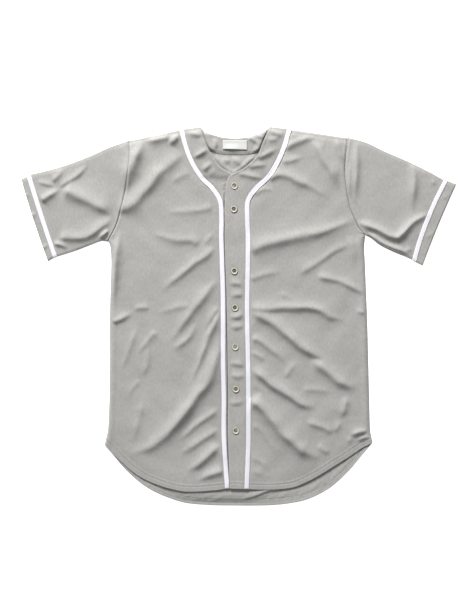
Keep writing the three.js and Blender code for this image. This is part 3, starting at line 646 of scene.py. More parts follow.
def front_places(side, across, up):
    """Places on a front, and the places level with them on its outer seam and on the braid's middle."""
    yoke = YOKE[side]
    corner_x, corner_y = CORNER[side]
    is_low = up < 1
    low = np.clip(up, 0, 1)
    section = np.clip(up - 1, 0, SPANS)
    share, on_braid, on_strip = (np.clip(across - start, 0, 1) for start in (0, 1, 2))
    if side == "right":
        half, side_line, braid_line = BRAID_WIDTH / 2, RIGHT_SIDE, RIGHT_BRAID
    else:
        half, side_line, braid_line = -BRAID_WIDTH / 2, LEFT_SIDE, LEFT_BRAID

    edge_foot = curve(HEM_X, FRONT_HEM, 0)
    braid_foot = curve(BODY_Y, braid_line, edge_foot)
    side_y = mix(corner_y, yoke[0, 1], low)
    side_x = np.where(low == 0, corner_x, curve(BODY_Y, side_line, side_y))
    braid_y = mix(curve(HEM_X, FRONT_HEM, braid_foot), ARM_Y, low)
    braid_x = curve(BODY_Y, braid_line, braid_y)
    edge_y = mix(edge_foot, ARM_Y, low)
    if side == "right":
        edge_x = curve(BODY_Y, LEFT_BRAID, edge_y) - HIDDEN_EDGE
    else:
        edge_x = curve(BODY_Y, FREE_EDGE, edge_y)
    hem_y = curve(HEM_X, FRONT_HEM, mix(corner_x, braid_foot - half, share))
    low_body = (mix(side_x, braid_x - half, share), mix(hem_y, mix(yoke[0, 1], ARM_Y, share), low))

    def on(column, at=section):
        return curve(range(SPANS + 1), yoke[:, column], at)

    before, after = np.clip(section - 0.01, 0, SPANS), np.clip(section + 0.01, 0, SPANS)
    along_x, along_y = on(2, after) - on(2, before), on(3, after) - on(3, before)
    length = np.hypot(along_x, along_y)
    step_x, step_y = half * along_y / length, -half * along_x / length
    high_body = (mix(on(0), on(2) - step_x, share), mix(on(1), on(3) - step_y, share))

    lines = ((low_body, high_body), ((braid_x + half, braid_y), (on(2) + step_x, on(3) + step_y)),
             ((edge_x, edge_y), (on(4), on(5))))
    place = []
    for axis in (0, 1):
        body, inner, edge = (np.where(is_low, below[axis], above[axis]) for below, above in lines)
        place.append(mix(mix(body, inner, on_braid), edge, on_strip))
    seam = (np.where(is_low, side_x, on(0)), np.where(is_low, side_y, on(1)))
    braid_middle = (np.where(is_low, braid_x, on(2)), np.where(is_low, place[1], on(3)))
    return place, seam, braid_middle


def front_points(side, across, up):
    """Places on a front. Across runs 0 to 1 from the side seam to the braid, 1 to 2 over the braid and
    2 to 3 to the inner edge; up runs 0 to 1 from the tail to the arm, then one for each yoke section."""
    across, up = np.broadcast_arrays(np.asarray(across, float), np.asarray(up, float))
    (x, y), seam, braid_middle = front_places(side, across, up)
    is_low = up < 1
    section = np.clip(up - 1, 0, SPANS)
    share, on_braid, on_strip = (np.clip(across - start, 0, 1) for start in (0, 1, 2))
    from_seam = np.hypot(x - seam[0], y - seam[1])
    from_hem = y - curve(HEM_X, FRONT_HEM, x)
    from_braid = np.hypot(x - braid_middle[0], y - braid_middle[1])

    overlap = 0 if side == "right" else LAYER
    edge_rise, braid_rise = (
        np.where(is_low, overlap, np.interp(section, range(SPANS + 1), YOKE[side][:, column]))
        for column in (6, 7))
    rise = mix(mix(0.4 * braid_rise * share ** 8, braid_rise, on_braid), edge_rise, on_strip)
    low_rise = SIDE_STAND * ease(from_seam / 3) * (1 - ease((from_seam - 4) / 16))
    low_rise += TAIL_LIFT * mound(x - TAIL_MIDDLE, TAIL_REACH) * (1 - ease(from_hem / UNDER_FRONT))
    low_rise += HEM_LIFT * (1.6 * rolling(x, y, 37, 6.5) - 0.4) * (1 - ease(from_hem / 26))
    armhole = section / SPANS
    seam_shows = np.where(is_low, 0, ease(np.minimum(armhole, 1 - armhole) / 0.07))
    shown = mix(seam_shows, 1, ease(from_seam / 10)) * np.where(is_low, 1, ease(3 * (SPANS - section)))
    if side == "right":
        shown *= 1 - on_braid * ease((OVERLAP_TOP - y) / 12)
        roll = mound(y - BRAID_ROLL_Y, BRAID_ROLL_REACH) * narrow(x - braid_middle[0], 11)
        low_rise += BRAID_ROLL * roll * (1 - on_strip)
        past_braid = np.abs(x - braid_middle[0] - BRAID_WIDTH / 2) * (on_strip > 0)
        inner_edge = ease(on_braid) * (1 - ease(past_braid / 2.6)) * ease(from_hem / 12)
        rise += BRAID_EDGE_STAND * inner_edge * np.where(is_low, 1, ease((BRAID_EDGE_TOP - y) / 60))
    else:
        stand = mound(y - FREE_EDGE_Y, FREE_EDGE_REACH) * np.exp(-(on_strip - 1) ** 2 / 0.08)
        low_rise += FREE_EDGE_STAND * stand * (on_strip > 0)
    rise += np.where(is_low, low_rise, 0)
    rise += NECK_STAND * ease((section - 3.4) / 0.8) * ease((SPANS - section) / 1.2) * on_strip ** 3

    height = relief(x, y) * shown * (1 - BRAID_HOLDS * mound(from_braid, 9))
    settled = np.where(is_low, 0.2 + 0.8 * ease(from_hem / 40), 1)
    swell = 2.4 * drags(x, y) + 1.4 * rolling(x, y, 46, 1.5) + 0.4 * rolling(x, y, 15, 7.5)
    return x, y, LAYER + rise + height + shown * settled * swell


FRONT_LENGTH = 520
FRONT_WIDTH = 235
STRIP_WIDTH = 38
hem_rows = np.array([0, 0.7, 2, 4, 6, 8, 9.2, 10.2, 11.2, 12.6, 14.2, 15.4, 16.6, 18.5, 21]) / FRONT_LENGTH
front_up = np.concatenate([hem_rows, np.linspace(0.047, 1, 132), 1 + np.linspace(0, SPANS, 78)[1:]])
body_columns = np.concatenate([np.array([0, 0.6, 1.5]) / FRONT_WIDTH, np.linspace(0.013, 0.966, 76),
                               1 - np.array([5.5, 3.6, 2.2, 1.1, 0]) / FRONT_WIDTH])
right_strip = np.array([*np.arange(0.4, 6.6, 0.4), 8, 11, 14, 18, 22, 26, 30, 34, 38])
left_strip = np.array([1, 2.2, 4, *np.arange(6.5, 34, 2.6), 34.4, 35.4, 36.2, 36.8, 37.4, 38])
strip_columns = {"right": 2 + right_strip / STRIP_WIDTH, "left": 2 + left_strip / STRIP_WIDTH}
# Stitch lines from the tail's edge and from the neck edge, and how far turned cloth stands up there
FRONT_HEM_LINES = (10.2, 15.4)
FRONT_HEM_RISE = 0.45
NECK_LINE = 5
NECK_TURN_RISE = 0.5
# The hollows beside the braid, the shoulder seam and the armhole seam, and the puff beside the last
BRAID_GROOVE = 1.5
BRAID_GROOVE_DEPTH = 0.9
SHOULDER_SEAM = 3.8
SHOULDER_GROOVE = 0.9
ARMHOLE_DEPTH = 1.0
ARMHOLE_PUFF = 0.5
# How far the side seam's edge and the free edge turn down, and the right front's hollow and lip beside
# the free edge. The lip begins at its top and is fullest round one height.
SIDE_TURN_DOWN = 0.9
FREE_EDGE_ROUND = 0.5
CREVICE_DEPTH = 1.1
LIP_RISE = 1.9
LIP_TOP = 296
LIP_FULLEST, LIP_FULL_REACH = 225, 62

for side in ("right", "left"):
    columns = np.concatenate([body_columns, [1.25, 1.5, 1.75, 2], strip_columns[side]])
    across, up = np.meshgrid(columns, front_up)
    x, y, low = front_points(side, across, up)
    edge_x, edge_y, _ = front_points(side, 3.0, front_up)
    hem_line = curve(HEM_X, FRONT_HEM, x)
    hem_gap = (y - hem_line) * np.cos(np.arctan(np.gradient(hem_line, axis=1) / np.gradient(x, axis=1)))
    edge_gap = np.hypot(x - edge_x[:, None], y - edge_y[:, None])
    seam_gap = np.hypot(x - x[:, :1], y - y[:, :1])
    shoulder_gap = np.hypot(x - x[-1], y - y[-1])
    below_arm = up < 1
    by_neck = ease((up - 4) / 0.3) * (across >= 2)
    by_shoulder = (up > 7) * (np.abs(across - 1.5) > 0.5)
    turn = (1 - ease(seam_gap / 3.5)) * below_arm

    high = low + WALL - SIDE_TURN_DOWN * turn
    low = low - 0.2 * turn
    high += FRONT_HEM_RISE * (1 - ease((hem_gap - FRONT_HEM_LINES[1]) / 1.2)) * below_arm
    for line in FRONT_HEM_LINES:
        high -= stitch_groove(hem_gap - line) * below_arm
    high += NECK_TURN_RISE * by_neck * (1 - ease((edge_gap - NECK_LINE) / 1.5))
    high -= stitch_groove(edge_gap - NECK_LINE) * by_neck
    for column, beside in ((1.0, across < 1), (2.0, across > 2)):
        braid_x, braid_y, _ = front_points(side, column, front_up)
        braid_gap = np.hypot(x - braid_x[:, None], y - braid_y[:, None])
        high -= BRAID_GROOVE_DEPTH * narrow(braid_gap, BRAID_GROOVE) * beside
    high -= SHOULDER_GROOVE * narrow(shoulder_gap - SHOULDER_SEAM, 1.1) * by_shoulder
    high -= ARMHOLE_DEPTH * (1 - ease(seam_gap / 2.2)) * ~below_arm
    high += ARMHOLE_PUFF * narrow(seam_gap - 4.5, 2) * ~below_arm
    if side == "left":
        high -= FREE_EDGE_ROUND * narrow(edge_gap, EDGE_ROUND) * (across >= 2)
    else:
        beside_edge = x - curve(BODY_Y, FREE_EDGE, y)
        overlapped = ease((OVERLAP_TOP - y) / 12) * (across > 2)
        lip = LIP_RISE * narrow(beside_edge + 2.9, 1.0) * overlapped * ease((LIP_TOP - y) / 24)
        lip *= (0.6 + 0.8 * rolling(x, y, 40, 8.0)) * (1 + 0.8 * mound(y - LIP_FULLEST, LIP_FULL_REACH))
        low += lip
        high += lip - CREVICE_DEPTH * narrow(beside_edge + 0.9, 1.1) * overlapped
    panel = cloth_shell("front_" + side + "_panel", stack(x, y, low), stack(x, y, high), knit)
    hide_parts("front_" + side)
    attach(panel, "root")

# The neck facing is a half-moon of the same knit inside the back neck, seamed into the neckline and
# sewn down along its lower edge. It covers the neck seam and carries the label.
FACING_HEIGHT = 38
FACING_SEW = 2.5
FACING_TOP_SEW = 4
facing_across = np.linspace(NECK[0, 0], NECK[-1, 0], 64)
facing_up = np.array([0, 0.02, 0.05, 0.08, 0.12, *np.linspace(0.18, 0.8, 16),
                      0.86, 0.9, 0.93, 0.96, 0.985, 1])


def facing_points(x, up):
    """Places up the facing at these places across it, 0 to 1 from its lower edge, and their heights."""
    lower, upper = curve(NECK[:, 0], NECK[:, 2], x), curve(NECK[:, 0], NECK[:, 1], x) - 0.5
    y = mix(lower, upper, up)
    height = 1.2 * rolling(x, y, 17, 11.0) + folded(x, y, NECK_FOLDS) + neck_ridge(x, y)
    height *= ease((y - lower) / 7) * ease((upper - y) / 5)
    return y, LAYER + height - 0.25 * (1 - ease((y - lower) / 3))


x, up = np.meshgrid(facing_across, facing_up)
y, low = facing_points(x, up)
from_lower, from_upper = y - y[:1], y[-1:] - y
high = low + WALL - 0.5 * (1 - ease(from_lower / 9)) - 0.45 * (1 - ease(from_lower / 1.2))
high -= stitch_groove(from_lower - FACING_SEW, 0.3)
high += 0.35 * (1 - ease((from_upper - 5) / 1.5)) - stitch_groove(from_upper - FACING_TOP_SEW, 0.35)
facing = cloth_shell("neck_facing_panel", stack(x, y, low), stack(x, y, high), knit)
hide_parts("neck_facing")
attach(facing, "root")

# The label is a bare tab of white satin ribbon, 50 by 18 mm, sewn to the facing along its top edge.
# Its weave runs in fine ribs, and its free lower edge curls off the cloth and shades it.
LABEL_LEFT, LABEL_RIGHT, LABEL_LOW, LABEL_HIGH = -33, 17, 345, 363
LABEL_WALL = 0.5
LABEL_LIFT = 1.0
LABEL_SLANT = 1.3
LABEL_CURL = 2.2
# The real ribs are about 0.4 mm apart; they are drawn twice as wide so that they show
RIB_MM = 0.8
satin, tree, shader, place = new_material("woven_satin_ribbon")
ribs = add_node(tree, "ShaderNodeTexWave", {"Vector": place, "Scale": wave_scale(RIB_MM)},
                bands_direction="Y")
ribbon_tone = add_node(tree, "ShaderNodeMix", {"Factor": ribs.outputs["Fac"], "A": linear("bcbdb9"),
                       "B": linear("c9cac7")}, data_type="RGBA")
tree.links.new(ribbon_tone.outputs["Result"], shader.inputs["Base Color"])
rib_bump = add_node(tree, "ShaderNodeBump", {"Height": ribs.outputs["Fac"], "Strength": 0.3,
                    "Distance": 0.1 * MM})
tree.links.new(rib_bump.outputs["Normal"], shader.inputs["Normal"])
shader.inputs["Roughness"].default_value = 0.45
x, up = np.meshgrid(np.linspace(LABEL_LEFT, LABEL_RIGHT, 40), np.linspace(0, 1, 18))
y = mix(LABEL_LOW, LABEL_HIGH, up) - LABEL_SLANT * (1 - up) * (x - LABEL_LEFT) / (LABEL_RIGHT - LABEL_LEFT)
low = 2 * LAYER + LABEL_LIFT + LABEL_CURL * (1 - ease(up / 0.75)) * (0.2 + 0.8 * mound(x + 14, 22))
label = cloth_shell("neck_label_tab", stack(x, y, low), stack(x, y, low + LABEL_WALL), satin)
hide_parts("neck_label")
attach(label, "root")

# The sleeves are set in at the armholes and lie flattened, folded along the top and closed by the
# underarm seam. Each is one tube of knit, a little raised at the cuff where the braid runs round it.
# From the armhole to the cuff: the place of the upper fold, that of the underarm seam, and how far the
# section bows outward between them
SLEEVES = {
    "right": np.array([
        (-227, 362, -271, 155, 0), (-267, 348, -284, 156, 0), (-312, 328, -306, 148, 0),
        (-360, 310, -332, 138, 0.5), (-401, 298.5, -357, 129.5, 1), (-429, 292, -375, 124, 1),
        (-438, 287.5, -383.5, 120.5, 1), (-449, 282, -394, 114, 2),
    ]),
    "left": np.array([
        (226, 368, 262, 168, 0), (262, 358.5, 274, 161.5, 0), (301, 340, 293, 147, 0),
        (348, 319.5, 318, 134.5, -2), (390, 299, 340, 125.5, -4), (423, 281, 358.2, 117.5, -6),
        (432, 278.5, 366.8, 112, -6), (449, 271.5, 380, 105.5, -2),
    ]),
}
CUFF_BRAID_FROM, CUFF = 5, 7
FOLD_ROWS = 5
SLEEVE_SEAM_DEPTH = 1.1
SLEEVE_SEAM_PUFF = 0.8
BRAID_WALL = 1.0


def sleeve_points(side, out, share):
    """Places on a sleeve: out counts the sections from the armhole to the cuff, and share runs from
    the underarm seam to the upper fold. Gives the heights of the lower and the upper run too."""
    out, share = np.broadcast_arrays(np.asarray(out, float), np.asarray(share, float))
    table = SLEEVES[side]
    outward = -1 if side == "right" else 1
    top_x, top_y, under_x, under_y = (curve(range(CUFF + 1), table[:, column], out) for column in range(4))
    bow = np.interp(out, range(CUFF + 1), table[:, 4])
    near_armhole = 1 - ease(out / 1.5)
    x, y = mix(under_x, top_x, share), mix(under_y, top_y, share)
    bulge_x, bulge_y = (curve(range(SPANS + 1), YOKE[side][:, axis], share * SPANS)
                        - mix(YOKE[side][0, axis], YOKE[side][-1, axis], share) for axis in (0, 1))
    x, y = x + bulge_x * near_armhole, y + bulge_y * near_armhole
    x = x + outward * (4 * bow * share * (1 - share) + 1.2 * GAP)
    lift = (BRAID_WALL + GAP) * ease((out - CUFF_BRAID_FROM + 2) / 1.5)
    shown = ease(np.minimum(share / 0.014, (1 - share) / 0.035))
    swell = 1.4 * rolling(x, y, 46, 1.5) + 0.35 * rolling(x, y, 15, 7.5)
    under_braid = 1 - 0.85 * mound(out - CUFF_BRAID_FROM - 0.5, 1)
    height = shown * (relief(x, y) * (0.5 + 0.5 * ease((CUFF - out) / 1.5)) * under_braid + swell)
    return x, y, lift, lift + LAYER + height


def sleeve_ring(side, out, share, clear):
    """Rings of places round a sleeve, moved out of its outer face by a clearance, or in if below 0."""
    x, y, lower, upper = sleeve_points(side, out, share)
    across = np.stack([x[:, -1] - x[:, 0], y[:, -1] - y[:, 0]], -1)
    across /= np.linalg.norm(across, axis=1, keepdims=True)
    below, above = lower - clear, upper + WALL + clear
    half_height = (above - below)[:, [0, -1]] / 2
    middle = (above + below)[:, [0, -1]] / 2
    turns = np.linspace(-math.pi / 2, math.pi / 2, FOLD_ROWS + 2)[1:-1]
    reach = max(WALL + clear, 0.06)
    folds = []
    for end, sign in ((-1, 1), (0, -1)):
        fold_x = x[:, [end]] + sign * across[:, [0]] * reach * np.cos(turns)
        fold_y = y[:, [end]] + sign * across[:, [1]] * reach * np.cos(turns)
        fold_z = middle[:, [end]] + half_height[:, [end]] * np.sin(turns * sign)
        folds.append(stack(fold_x, fold_y, fold_z))
    return np.concatenate([stack(x, y, below), folds[0], stack(x, y, above)[:, ::-1], folds[1]], axis=1)


sleeve_out = np.concatenate([[0, 0.02, 0.05, 0.1], np.linspace(0.16, CUFF_BRAID_FROM, 66),
                             np.linspace(CUFF_BRAID_FROM, CUFF_BRAID_FROM + 1, 5)[1:],
                             np.linspace(CUFF_BRAID_FROM + 1, CUFF, 7)[1:]])
sleeve_share = np.linspace(0, 1, 74)
for side in ("right", "left"):
    out, share = np.meshgrid(sleeve_out, sleeve_share, indexing="ij")
    outer = sleeve_ring(side, out, share, 0)
    inner = sleeve_ring(side, out, share, -WALL)
    seam_dip = SLEEVE_SEAM_DEPTH * (1 - ease(sleeve_out / 0.08))
    seam_dip -= SLEEVE_SEAM_PUFF * mound(sleeve_out - 0.13, 0.1)
    upper_run = slice(len(sleeve_share) + FOLD_ROWS, 2 * len(sleeve_share) + FOLD_ROWS)
    outer[:, upper_run, 2] -= seam_dip[:, None]
    if side == "left":
        outer, inner = outer[:, ::-1], inner[:, ::-1]
    tube = cloth_shell("sleeve_" + side + "_tube", inner, outer, knit, closed_around=True)
    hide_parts("sleeve_" + side)
    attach(tube, "root")

# The braid is a flat woven polyester trim, 9.5 mm wide and bright white. It is sewn down both edges:
# one on each front from the tail round to the shoulder seam, and one round each sleeve by the cuff.
BRAID_COLOUR = "e0dfe6"
BRAID_COLOUR_DEEP = "d0cfda"
BRAID_THREAD_MM = 2.2
BRAID_SLANT = 38
braid_cloth, tree, shader, place = new_material("flat_woven_polyester_braid")
# The plaited yarns cross on the slant; they are about 1.2 mm wide and drawn wider so that they show
slants = []
for angle in (BRAID_SLANT, -BRAID_SLANT):
    slanted = add_node(tree, "ShaderNodeVectorRotate", {"Vector": place, "Angle": math.radians(angle)},
                       rotation_type="Z_AXIS")
    yarns = add_node(tree, "ShaderNodeTexWave", {"Vector": slanted.outputs["Vector"],
                     "Scale": wave_scale(BRAID_THREAD_MM)}, bands_direction="X")
    slants.append(yarns.outputs["Fac"])
plait = add_node(tree, "ShaderNodeMath", {0: slants[0], 1: slants[1]}, operation="MAXIMUM")
braid_tone = add_node(tree, "ShaderNodeMix", {"Factor": plait.outputs["Value"],
                      "A": linear(BRAID_COLOUR_DEEP), "B": linear(BRAID_COLOUR)}, data_type="RGBA")
tree.links.new(braid_tone.outputs["Result"], shader.inputs["Base Color"])
plait_bump = add_node(tree, "ShaderNodeBump", {"Height": plait.outputs["Value"], "Strength": 0.5,
                      "Distance": 0.25 * MM})
tree.links.new(plait_bump.outputs["Normal"], shader.inputs["Normal"])
shader.inputs["Roughness"].default_value = 0.6
shader.inputs["Sheen Weight"].default_value = 0.1

BRAID_EDGE = 0.15
BRAID_CLEARANCE = 0.02
braid_columns = np.array([0.02, 0.05, 0.12, 0.25, 0.4, 0.5, 0.6, 0.75, 0.88, 0.95, 0.98])
braid_round = np.array([0.35, 0.7, 0.95, 0.85, 0.95, 1, 0.95, 0.85, 0.95, 0.7, 0.35])
braid_up = np.concatenate([np.linspace(0, 1, 190), 1 + np.linspace(0, SPANS, 120)[1:]])
for side in ("right", "left"):
    across, up = np.meshgrid(1 + braid_columns, braid_up)
    x, y, low = front_points(side, across, up)
    low = low + WALL + BRAID_CLEARANCE
    high = low + BRAID_EDGE + BRAID_WALL * braid_round[None, :]
    trim = cloth_shell("braid_front_" + side + "_trim", stack(x, y, low), stack(x, y, high), braid_cloth)
    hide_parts("braid_front_" + side)
    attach(trim, "root")
for side in ("right", "left"):
    out, share = np.meshgrid(CUFF_BRAID_FROM + braid_columns, sleeve_share, indexing="ij")
    ring_round = BRAID_EDGE + BRAID_WALL * braid_round
    inner = sleeve_ring(side, out, share, 1.5 * BRAID_CLEARANCE)
    outer = np.concatenate([sleeve_ring(side, out[[k]], share[[k]], ring_round[k]) for k in range(len(out))])
    if side == "left":
        outer, inner = outer[:, ::-1], inner[:, ::-1]
    trim = cloth_shell("braid_sleeve_" + side + "_trim", inner, outer, braid_cloth, closed_around=True)
    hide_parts("braid_sleeve_" + side)
    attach(trim, "root")

# The buttons are 15 mm discs of moulded polyester with a raised rim and four holes, each sewn through
# the left front with dark thread. They are fastened, so the fronts stay closed.
# The polished rim is cream. The dish and the outer side take a darker matt resin whose dark tone is painted
# shade: it stands in for the shade in the dish round the holes and the shade round the rim's outer edge
MARBLING_PER_METRE = 180.0
resins = []
for name, dark, light, roughness in (("polished_polyester_resin", "a8a494", "cdcabc", 0.38),
                                     ("painted_shade_button_resin", "4f4c42", "726e61", 0.8)):
    resin, tree, shader, place = new_material(name)
    marbling = add_node(tree, "ShaderNodeTexNoise", {"Vector": place, "Scale": MARBLING_PER_METRE,
                        "Detail": 4.0, "Distortion": 1.2})
    resin_tone = add_node(tree, "ShaderNodeMix", {"Factor": marbling.outputs["Fac"], "A": linear(dark),
                          "B": linear(light)}, data_type="RGBA")
    tree.links.new(resin_tone.outputs["Result"], shader.inputs["Base Color"])
    shader.inputs["Roughness"].default_value = roughness
    shader.inputs["IOR"].default_value = 1.55
    resins.append(resin)

BUTTON_TWIST_MM = 0.5
button_thread, tree, shader, place = new_material("spun_polyester_sewing_thread")
twist = add_node(tree, "ShaderNodeTexWave", {"Vector": place, "Scale": wave_scale(BUTTON_TWIST_MM)},
                 bands_direction="DIAGONAL")
thread_tone = add_node(tree, "ShaderNodeMix", {"Factor": twist.outputs["Fac"], "A": linear("5d5b53"),
                       "B": linear("85837a")}, data_type="RGBA")
tree.links.new(thread_tone.outputs["Result"], shader.inputs["Base Color"])
shader.inputs["Roughness"].default_value = 0.8

HOLE_RADIUS = 0.95
DISH_RADIUS = 4.0
RIM_RADIUS = 6.9
HOLE_PITCH = 3.4
BUTTON_PROFILE = [(0, 0.3), (5.8, 0.3), (6.9, 0.7), (7.4, 1.3), (7.5, 2.0), (7.3, 2.7), (6.8, 3.1),
                  (6.1, 3.2), (5.3, 3.15), (4.7, 2.9), (4.2, 2.4), (3.8, 2.05), (0, 1.85)]


def turned(name, profile, sides):
    """A closed body turned round the Z axis from radii and heights in millimetres."""
    rim = [(r * math.cos(2 * math.pi * k / sides), r * math.sin(2 * math.pi * k / sides), z)
           for r, z in profile[1:-1] for k in range(sides)]
    points = [(0, 0, profile[0][1]), *rim, (0, 0, profile[-1][1])]
    last = len(points) - 1
    faces = []
    for k in range(sides):
        nxt = (k + 1) % sides
        faces.append((0, 1 + nxt, 1 + k))
        faces.append((last, last - sides + k, last - sides + nxt))
        for ring in range(len(profile) - 3):
            a, b = 1 + ring * sides, 1 + (ring + 1) * sides
            faces.append((a + k, a + nxt, b + nxt, b + k))
    mesh = bpy.data.meshes.new(name)
    mesh.from_pydata([tuple(c * MM for c in point) for point in points], [], faces)
    return mesh


def joined(name, meshes_and_places):
    """Copies of meshes at places in millimetres, joined into one mesh."""
    points, faces = [], []
    for mesh, (x, y, z) in meshes_and_places:
        start = len(points)
        points += [(v.co.x + x * MM, v.co.y + y * MM, v.co.z + z * MM) for v in mesh.vertices]
        faces += [[start + index for index in polygon.vertices] for polygon in mesh.polygons]
    mesh = bpy.data.meshes.new(name)
    mesh.from_pydata(points, [], faces)
    return mesh


disc = bpy.data.objects.new("button_disc", turned("button_disc", BUTTON_PROFILE, 48))
hole = turned("button_hole", [(0, -1), (HOLE_RADIUS, -1), (HOLE_RADIUS, 5), (0, 5)], 14)
hole_places = [(sx * HOLE_PITCH / 2, sy * HOLE_PITCH / 2, 0) for sx in (-1, 1) for sy in (-1, 1)]
drill = bpy.data.objects.new("button_drill", joined("button_drill", [(hole, spot) for spot in hole_places]))
for tool in (disc, drill):
    bpy.context.scene.collection.objects.link(tool)
cut = disc.modifiers.new("holes", "BOOLEAN")
cut.operation = "DIFFERENCE"
cut.object = drill
drilled = bpy.data.meshes.new_from_object(disc.evaluated_get(bpy.context.evaluated_depsgraph_get()))
for tool in (disc, drill):
    bpy.data.objects.remove(tool)

THREAD_RADIUS = 0.42


def rod(start, end, radius, sides=8):
    """A short rod of thread with rounded ends between two places in millimetres."""
    start, end = Vector(start), Vector(end)
    axis = (end - start).normalized()
    side_way = axis.orthogonal().normalized()
    other_way = axis.cross(side_way)
    tip = axis * (0.6 * radius)
    points, faces = [], []
    for middle, size in ((start - tip, 0.45), (start, 1), (end, 1), (end + tip, 0.45)):
        for k in range(sides):
            angle = 2 * math.pi * k / sides
            points.append(middle + radius * size * (side_way * math.cos(angle) + other_way * math.sin(angle)))
    for ring in range(3):
        for k in range(sides):
            nxt = (k + 1) % sides
            a, b = ring * sides, (ring + 1) * sides
            faces.append((a + k, a + nxt, b + nxt, b + k))
    faces.append(tuple(reversed(range(sides))))
    faces.append(tuple(range(3 * sides, 4 * sides)))
    mesh = bpy.data.meshes.new("thread")
    mesh.from_pydata([tuple(point * MM) for point in points], [], faces)
    return mesh


half_pitch = HOLE_PITCH / 2
cross_stitch = [rod((-half_pitch, -half_pitch, 2.0), (half_pitch, half_pitch, 2.5), THREAD_RADIUS),
                rod((-half_pitch, half_pitch, 2.1), (half_pitch, -half_pitch, 2.3), THREAD_RADIUS)]
for hole_x, hole_y, top in ((-half_pitch, -half_pitch, 2.2), (half_pitch, half_pitch, 2.4),
                            (-half_pitch, half_pitch, 2.2), (half_pitch, -half_pitch, 2.3)):
    cross_stitch.append(rod((hole_x, hole_y, -0.3), (hole_x, hole_y, top), THREAD_RADIUS))
BUTTON_SEAT = 2 * LAYER + WALL + 0.35
for number, (button_x, button_y) in enumerate(BUTTONS, 1):
    seat = (button_x, button_y, BUTTON_SEAT)
    face = joined("button_%d_disc" % number, [(drilled, seat)])
    thread = joined("button_%d_thread" % number, [(strand, seat) for strand in cross_stitch])
    for resin in resins:
        face.materials.append(resin)
    # Faces in the dish and outside the rim take the darker resin, whose tone is painted shade
    for polygon in face.polygons:
        radius = math.hypot(polygon.center.x / MM - button_x, polygon.center.y / MM - button_y)
        polygon.material_index = 0 if DISH_RADIUS < radius < RIM_RADIUS else 1
    thread.materials.append(button_thread)
    for mesh in (face, thread):
        mesh.polygons.foreach_set("use_smooth", [True] * len(mesh.polygons))
        piece = bpy.data.objects.new(mesh.name, mesh)
        bpy.context.scene.collection.objects.link(piece)
        if mesh is face:
            mesh.set_sharp_from_angle(angle=math.radians(40))
            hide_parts("button_%d" % number)
        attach(piece, "root")

# The sewing is lockstitch in grey polyester thread, with white thread on the braid and the label. The
# tails are hemmed with two rows, and single rows run along the neck edges and both edges of the facing.
STITCH = 2.6
STITCH_PITCH = 3.3
STITCH_RADIUS = 0.26
STITCH_SIDES = 6
STITCH_SHARES = np.array([0, 0.15, 0.5, 0.85, 1])
STITCH_SIZES = np.array([0.25, 0.85, 1, 0.85, 0.25])
STITCH_LIFT = 0.15
BRAID_SEW_SHARE = 0.11
LABEL_SEW = 1.5
TWIST_MM = 0.6
threads = []
for name, colour in (("grey_polyester_thread", "a3a49b"), ("white_polyester_thread", "eeeef2")):
    thread, tree, shader, place = new_material(name)
    twist = add_node(tree, "ShaderNodeTexWave", {"Vector": place, "Scale": wave_scale(TWIST_MM)},
                     bands_direction="DIAGONAL")
    bump = add_node(tree, "ShaderNodeBump", {"Height": twist.outputs["Fac"], "Strength": 0.4,
                    "Distance": 0.1 * MM})
    tree.links.new(bump.outputs["Normal"], shader.inputs["Normal"])
    shader.inputs["Base Color"].default_value = linear(colour)
    shader.inputs["Roughness"].default_value = 0.6
    threads.append(thread)
grey_thread, white_thread = threads


def stitched(name, lines, material):
    """Rows of stitches along lines of places in millimetres, as one mesh."""
    points, faces = [], []
    ring = [(math.cos(2 * math.pi * k / STITCH_SIDES), math.sin(2 * math.pi * k / STITCH_SIDES))
            for k in range(STITCH_SIDES)]
    for line in lines:
        line = np.asarray(line, float)
        lengths = np.concatenate([[0], np.cumsum(np.linalg.norm(np.diff(line, axis=0), axis=1))])
        starts = np.arange(0.5, lengths[-1] - STITCH, STITCH_PITCH)
        at = starts[:, None] + STITCH * STITCH_SHARES[None, :]
        middle = np.stack([np.interp(at, lengths, line[:, axis]) for axis in range(3)], -1)
        way = middle[:, -1] - middle[:, 0]
        way /= np.linalg.norm(way, axis=1, keepdims=True)
        side_way = np.cross(way, (0, 0, 1.0))
        side_way /= np.linalg.norm(side_way, axis=1, keepdims=True)
        up_way = np.cross(side_way, way)
        for k in range(len(starts)):
            first = len(points)
            for m, size in enumerate(STITCH_SIZES):
                sink = STITCH_RADIUS * (size - 1)
                for c, s in ring:
                    points.append(middle[k, m] + STITCH_RADIUS * size * (c * side_way[k] + s * up_way[k])
                                  + sink * up_way[k])
            for m in range(len(STITCH_SIZES) - 1):
                for j in range(STITCH_SIDES):
                    nxt = (j + 1) % STITCH_SIDES
                    a, b = first + m * STITCH_SIDES, first + (m + 1) * STITCH_SIDES
                    faces.append((a + nxt, a + j, b + j, b + nxt))
            faces.append(tuple(first + j for j in range(STITCH_SIDES)))
            end = first + (len(STITCH_SIZES) - 1) * STITCH_SIDES
            faces.append(tuple(end + j for j in reversed(range(STITCH_SIDES))))
    mesh = bpy.data.meshes.new(name)
    mesh.from_pydata((np.array(points) * MM).tolist(), [], faces)
    mesh.polygons.foreach_set("use_smooth", [True] * len(mesh.polygons))
    mesh.materials.append(material)
    piece = bpy.data.objects.new(name, mesh)
    bpy.context.scene.collection.objects.link(piece)
    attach(piece, "root")
    return piece


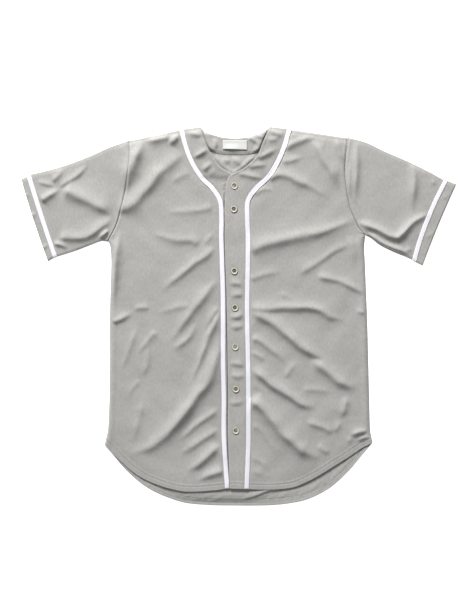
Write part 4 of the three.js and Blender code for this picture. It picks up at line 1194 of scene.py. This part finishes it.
def front_line(side, across, up, lift):
    """Places over a front, lifted this far above its upper face."""
    x, y, low = front_points(side, across, up)
    return stack(x, y, low + WALL + lift)


grey_lines = []
white_lines = []
for side in ("right", "left"):
    across = np.linspace(0.004, 3 if side == "left" else 2, 260)
    foot_x, foot_y, _ = front_points(side, across, 0.0)
    slope = np.gradient(foot_y) / np.gradient(foot_x)
    for line in FRONT_HEM_LINES:
        up = line * np.sqrt(1 + slope ** 2) / FRONT_LENGTH
        grey_lines.append(front_line(side, across, up, STITCH_LIFT))
    up = np.linspace(4.2, 7.95, 120)
    edge = front_line(side, 3.0, up, 0)
    inner = front_line(side, 2.0, up, 0)
    share = NECK_LINE / np.linalg.norm(edge - inner, axis=1)
    grey_lines.append(front_line(side, 3 - share, up, STITCH_LIFT))
    up = np.concatenate([np.linspace(0.004, 1, 200), np.linspace(1, 7.98, 160)[1:]])
    for across in (1 + BRAID_SEW_SHARE, 2 - BRAID_SEW_SHARE):
        white_lines.append(front_line(side, across, up, BRAID_WALL + BRAID_CLEARANCE))
for from_hem in HEM_LINES:
    across = np.linspace(0.01, 0.99, 300)
    x, y = back_points(across, from_hem / BACK_LENGTH)
    grey_lines.append(stack(x, y, WALL + 0.5))
x = np.linspace(-70, 55, 90)
y, low = facing_points(x, FACING_SEW / FACING_HEIGHT)
grey_lines.append(stack(x, y, low + WALL - 0.5))
y, low = facing_points(x, 1 - FACING_TOP_SEW / FACING_HEIGHT)
grey_lines.append(stack(x, y, low + WALL + 0.3))
for side in ("right", "left"):
    share = np.linspace(0.01, 0.99, 130)
    for out in (CUFF_BRAID_FROM + BRAID_SEW_SHARE, CUFF_BRAID_FROM + 1 - BRAID_SEW_SHARE):
        x, y, _, upper = sleeve_points(side, out, share)
        white_lines.append(stack(x, y, upper + WALL + BRAID_WALL + BRAID_CLEARANCE))
x = np.linspace(LABEL_LEFT + LABEL_SEW, LABEL_RIGHT - LABEL_SEW, 30)
white_lines.append(stack(x, LABEL_HIGH - LABEL_SEW, 2 * LAYER + 1.3))
stitched("seam_stitches", grey_lines, grey_thread)
stitched("braid_stitches", white_lines, white_thread)
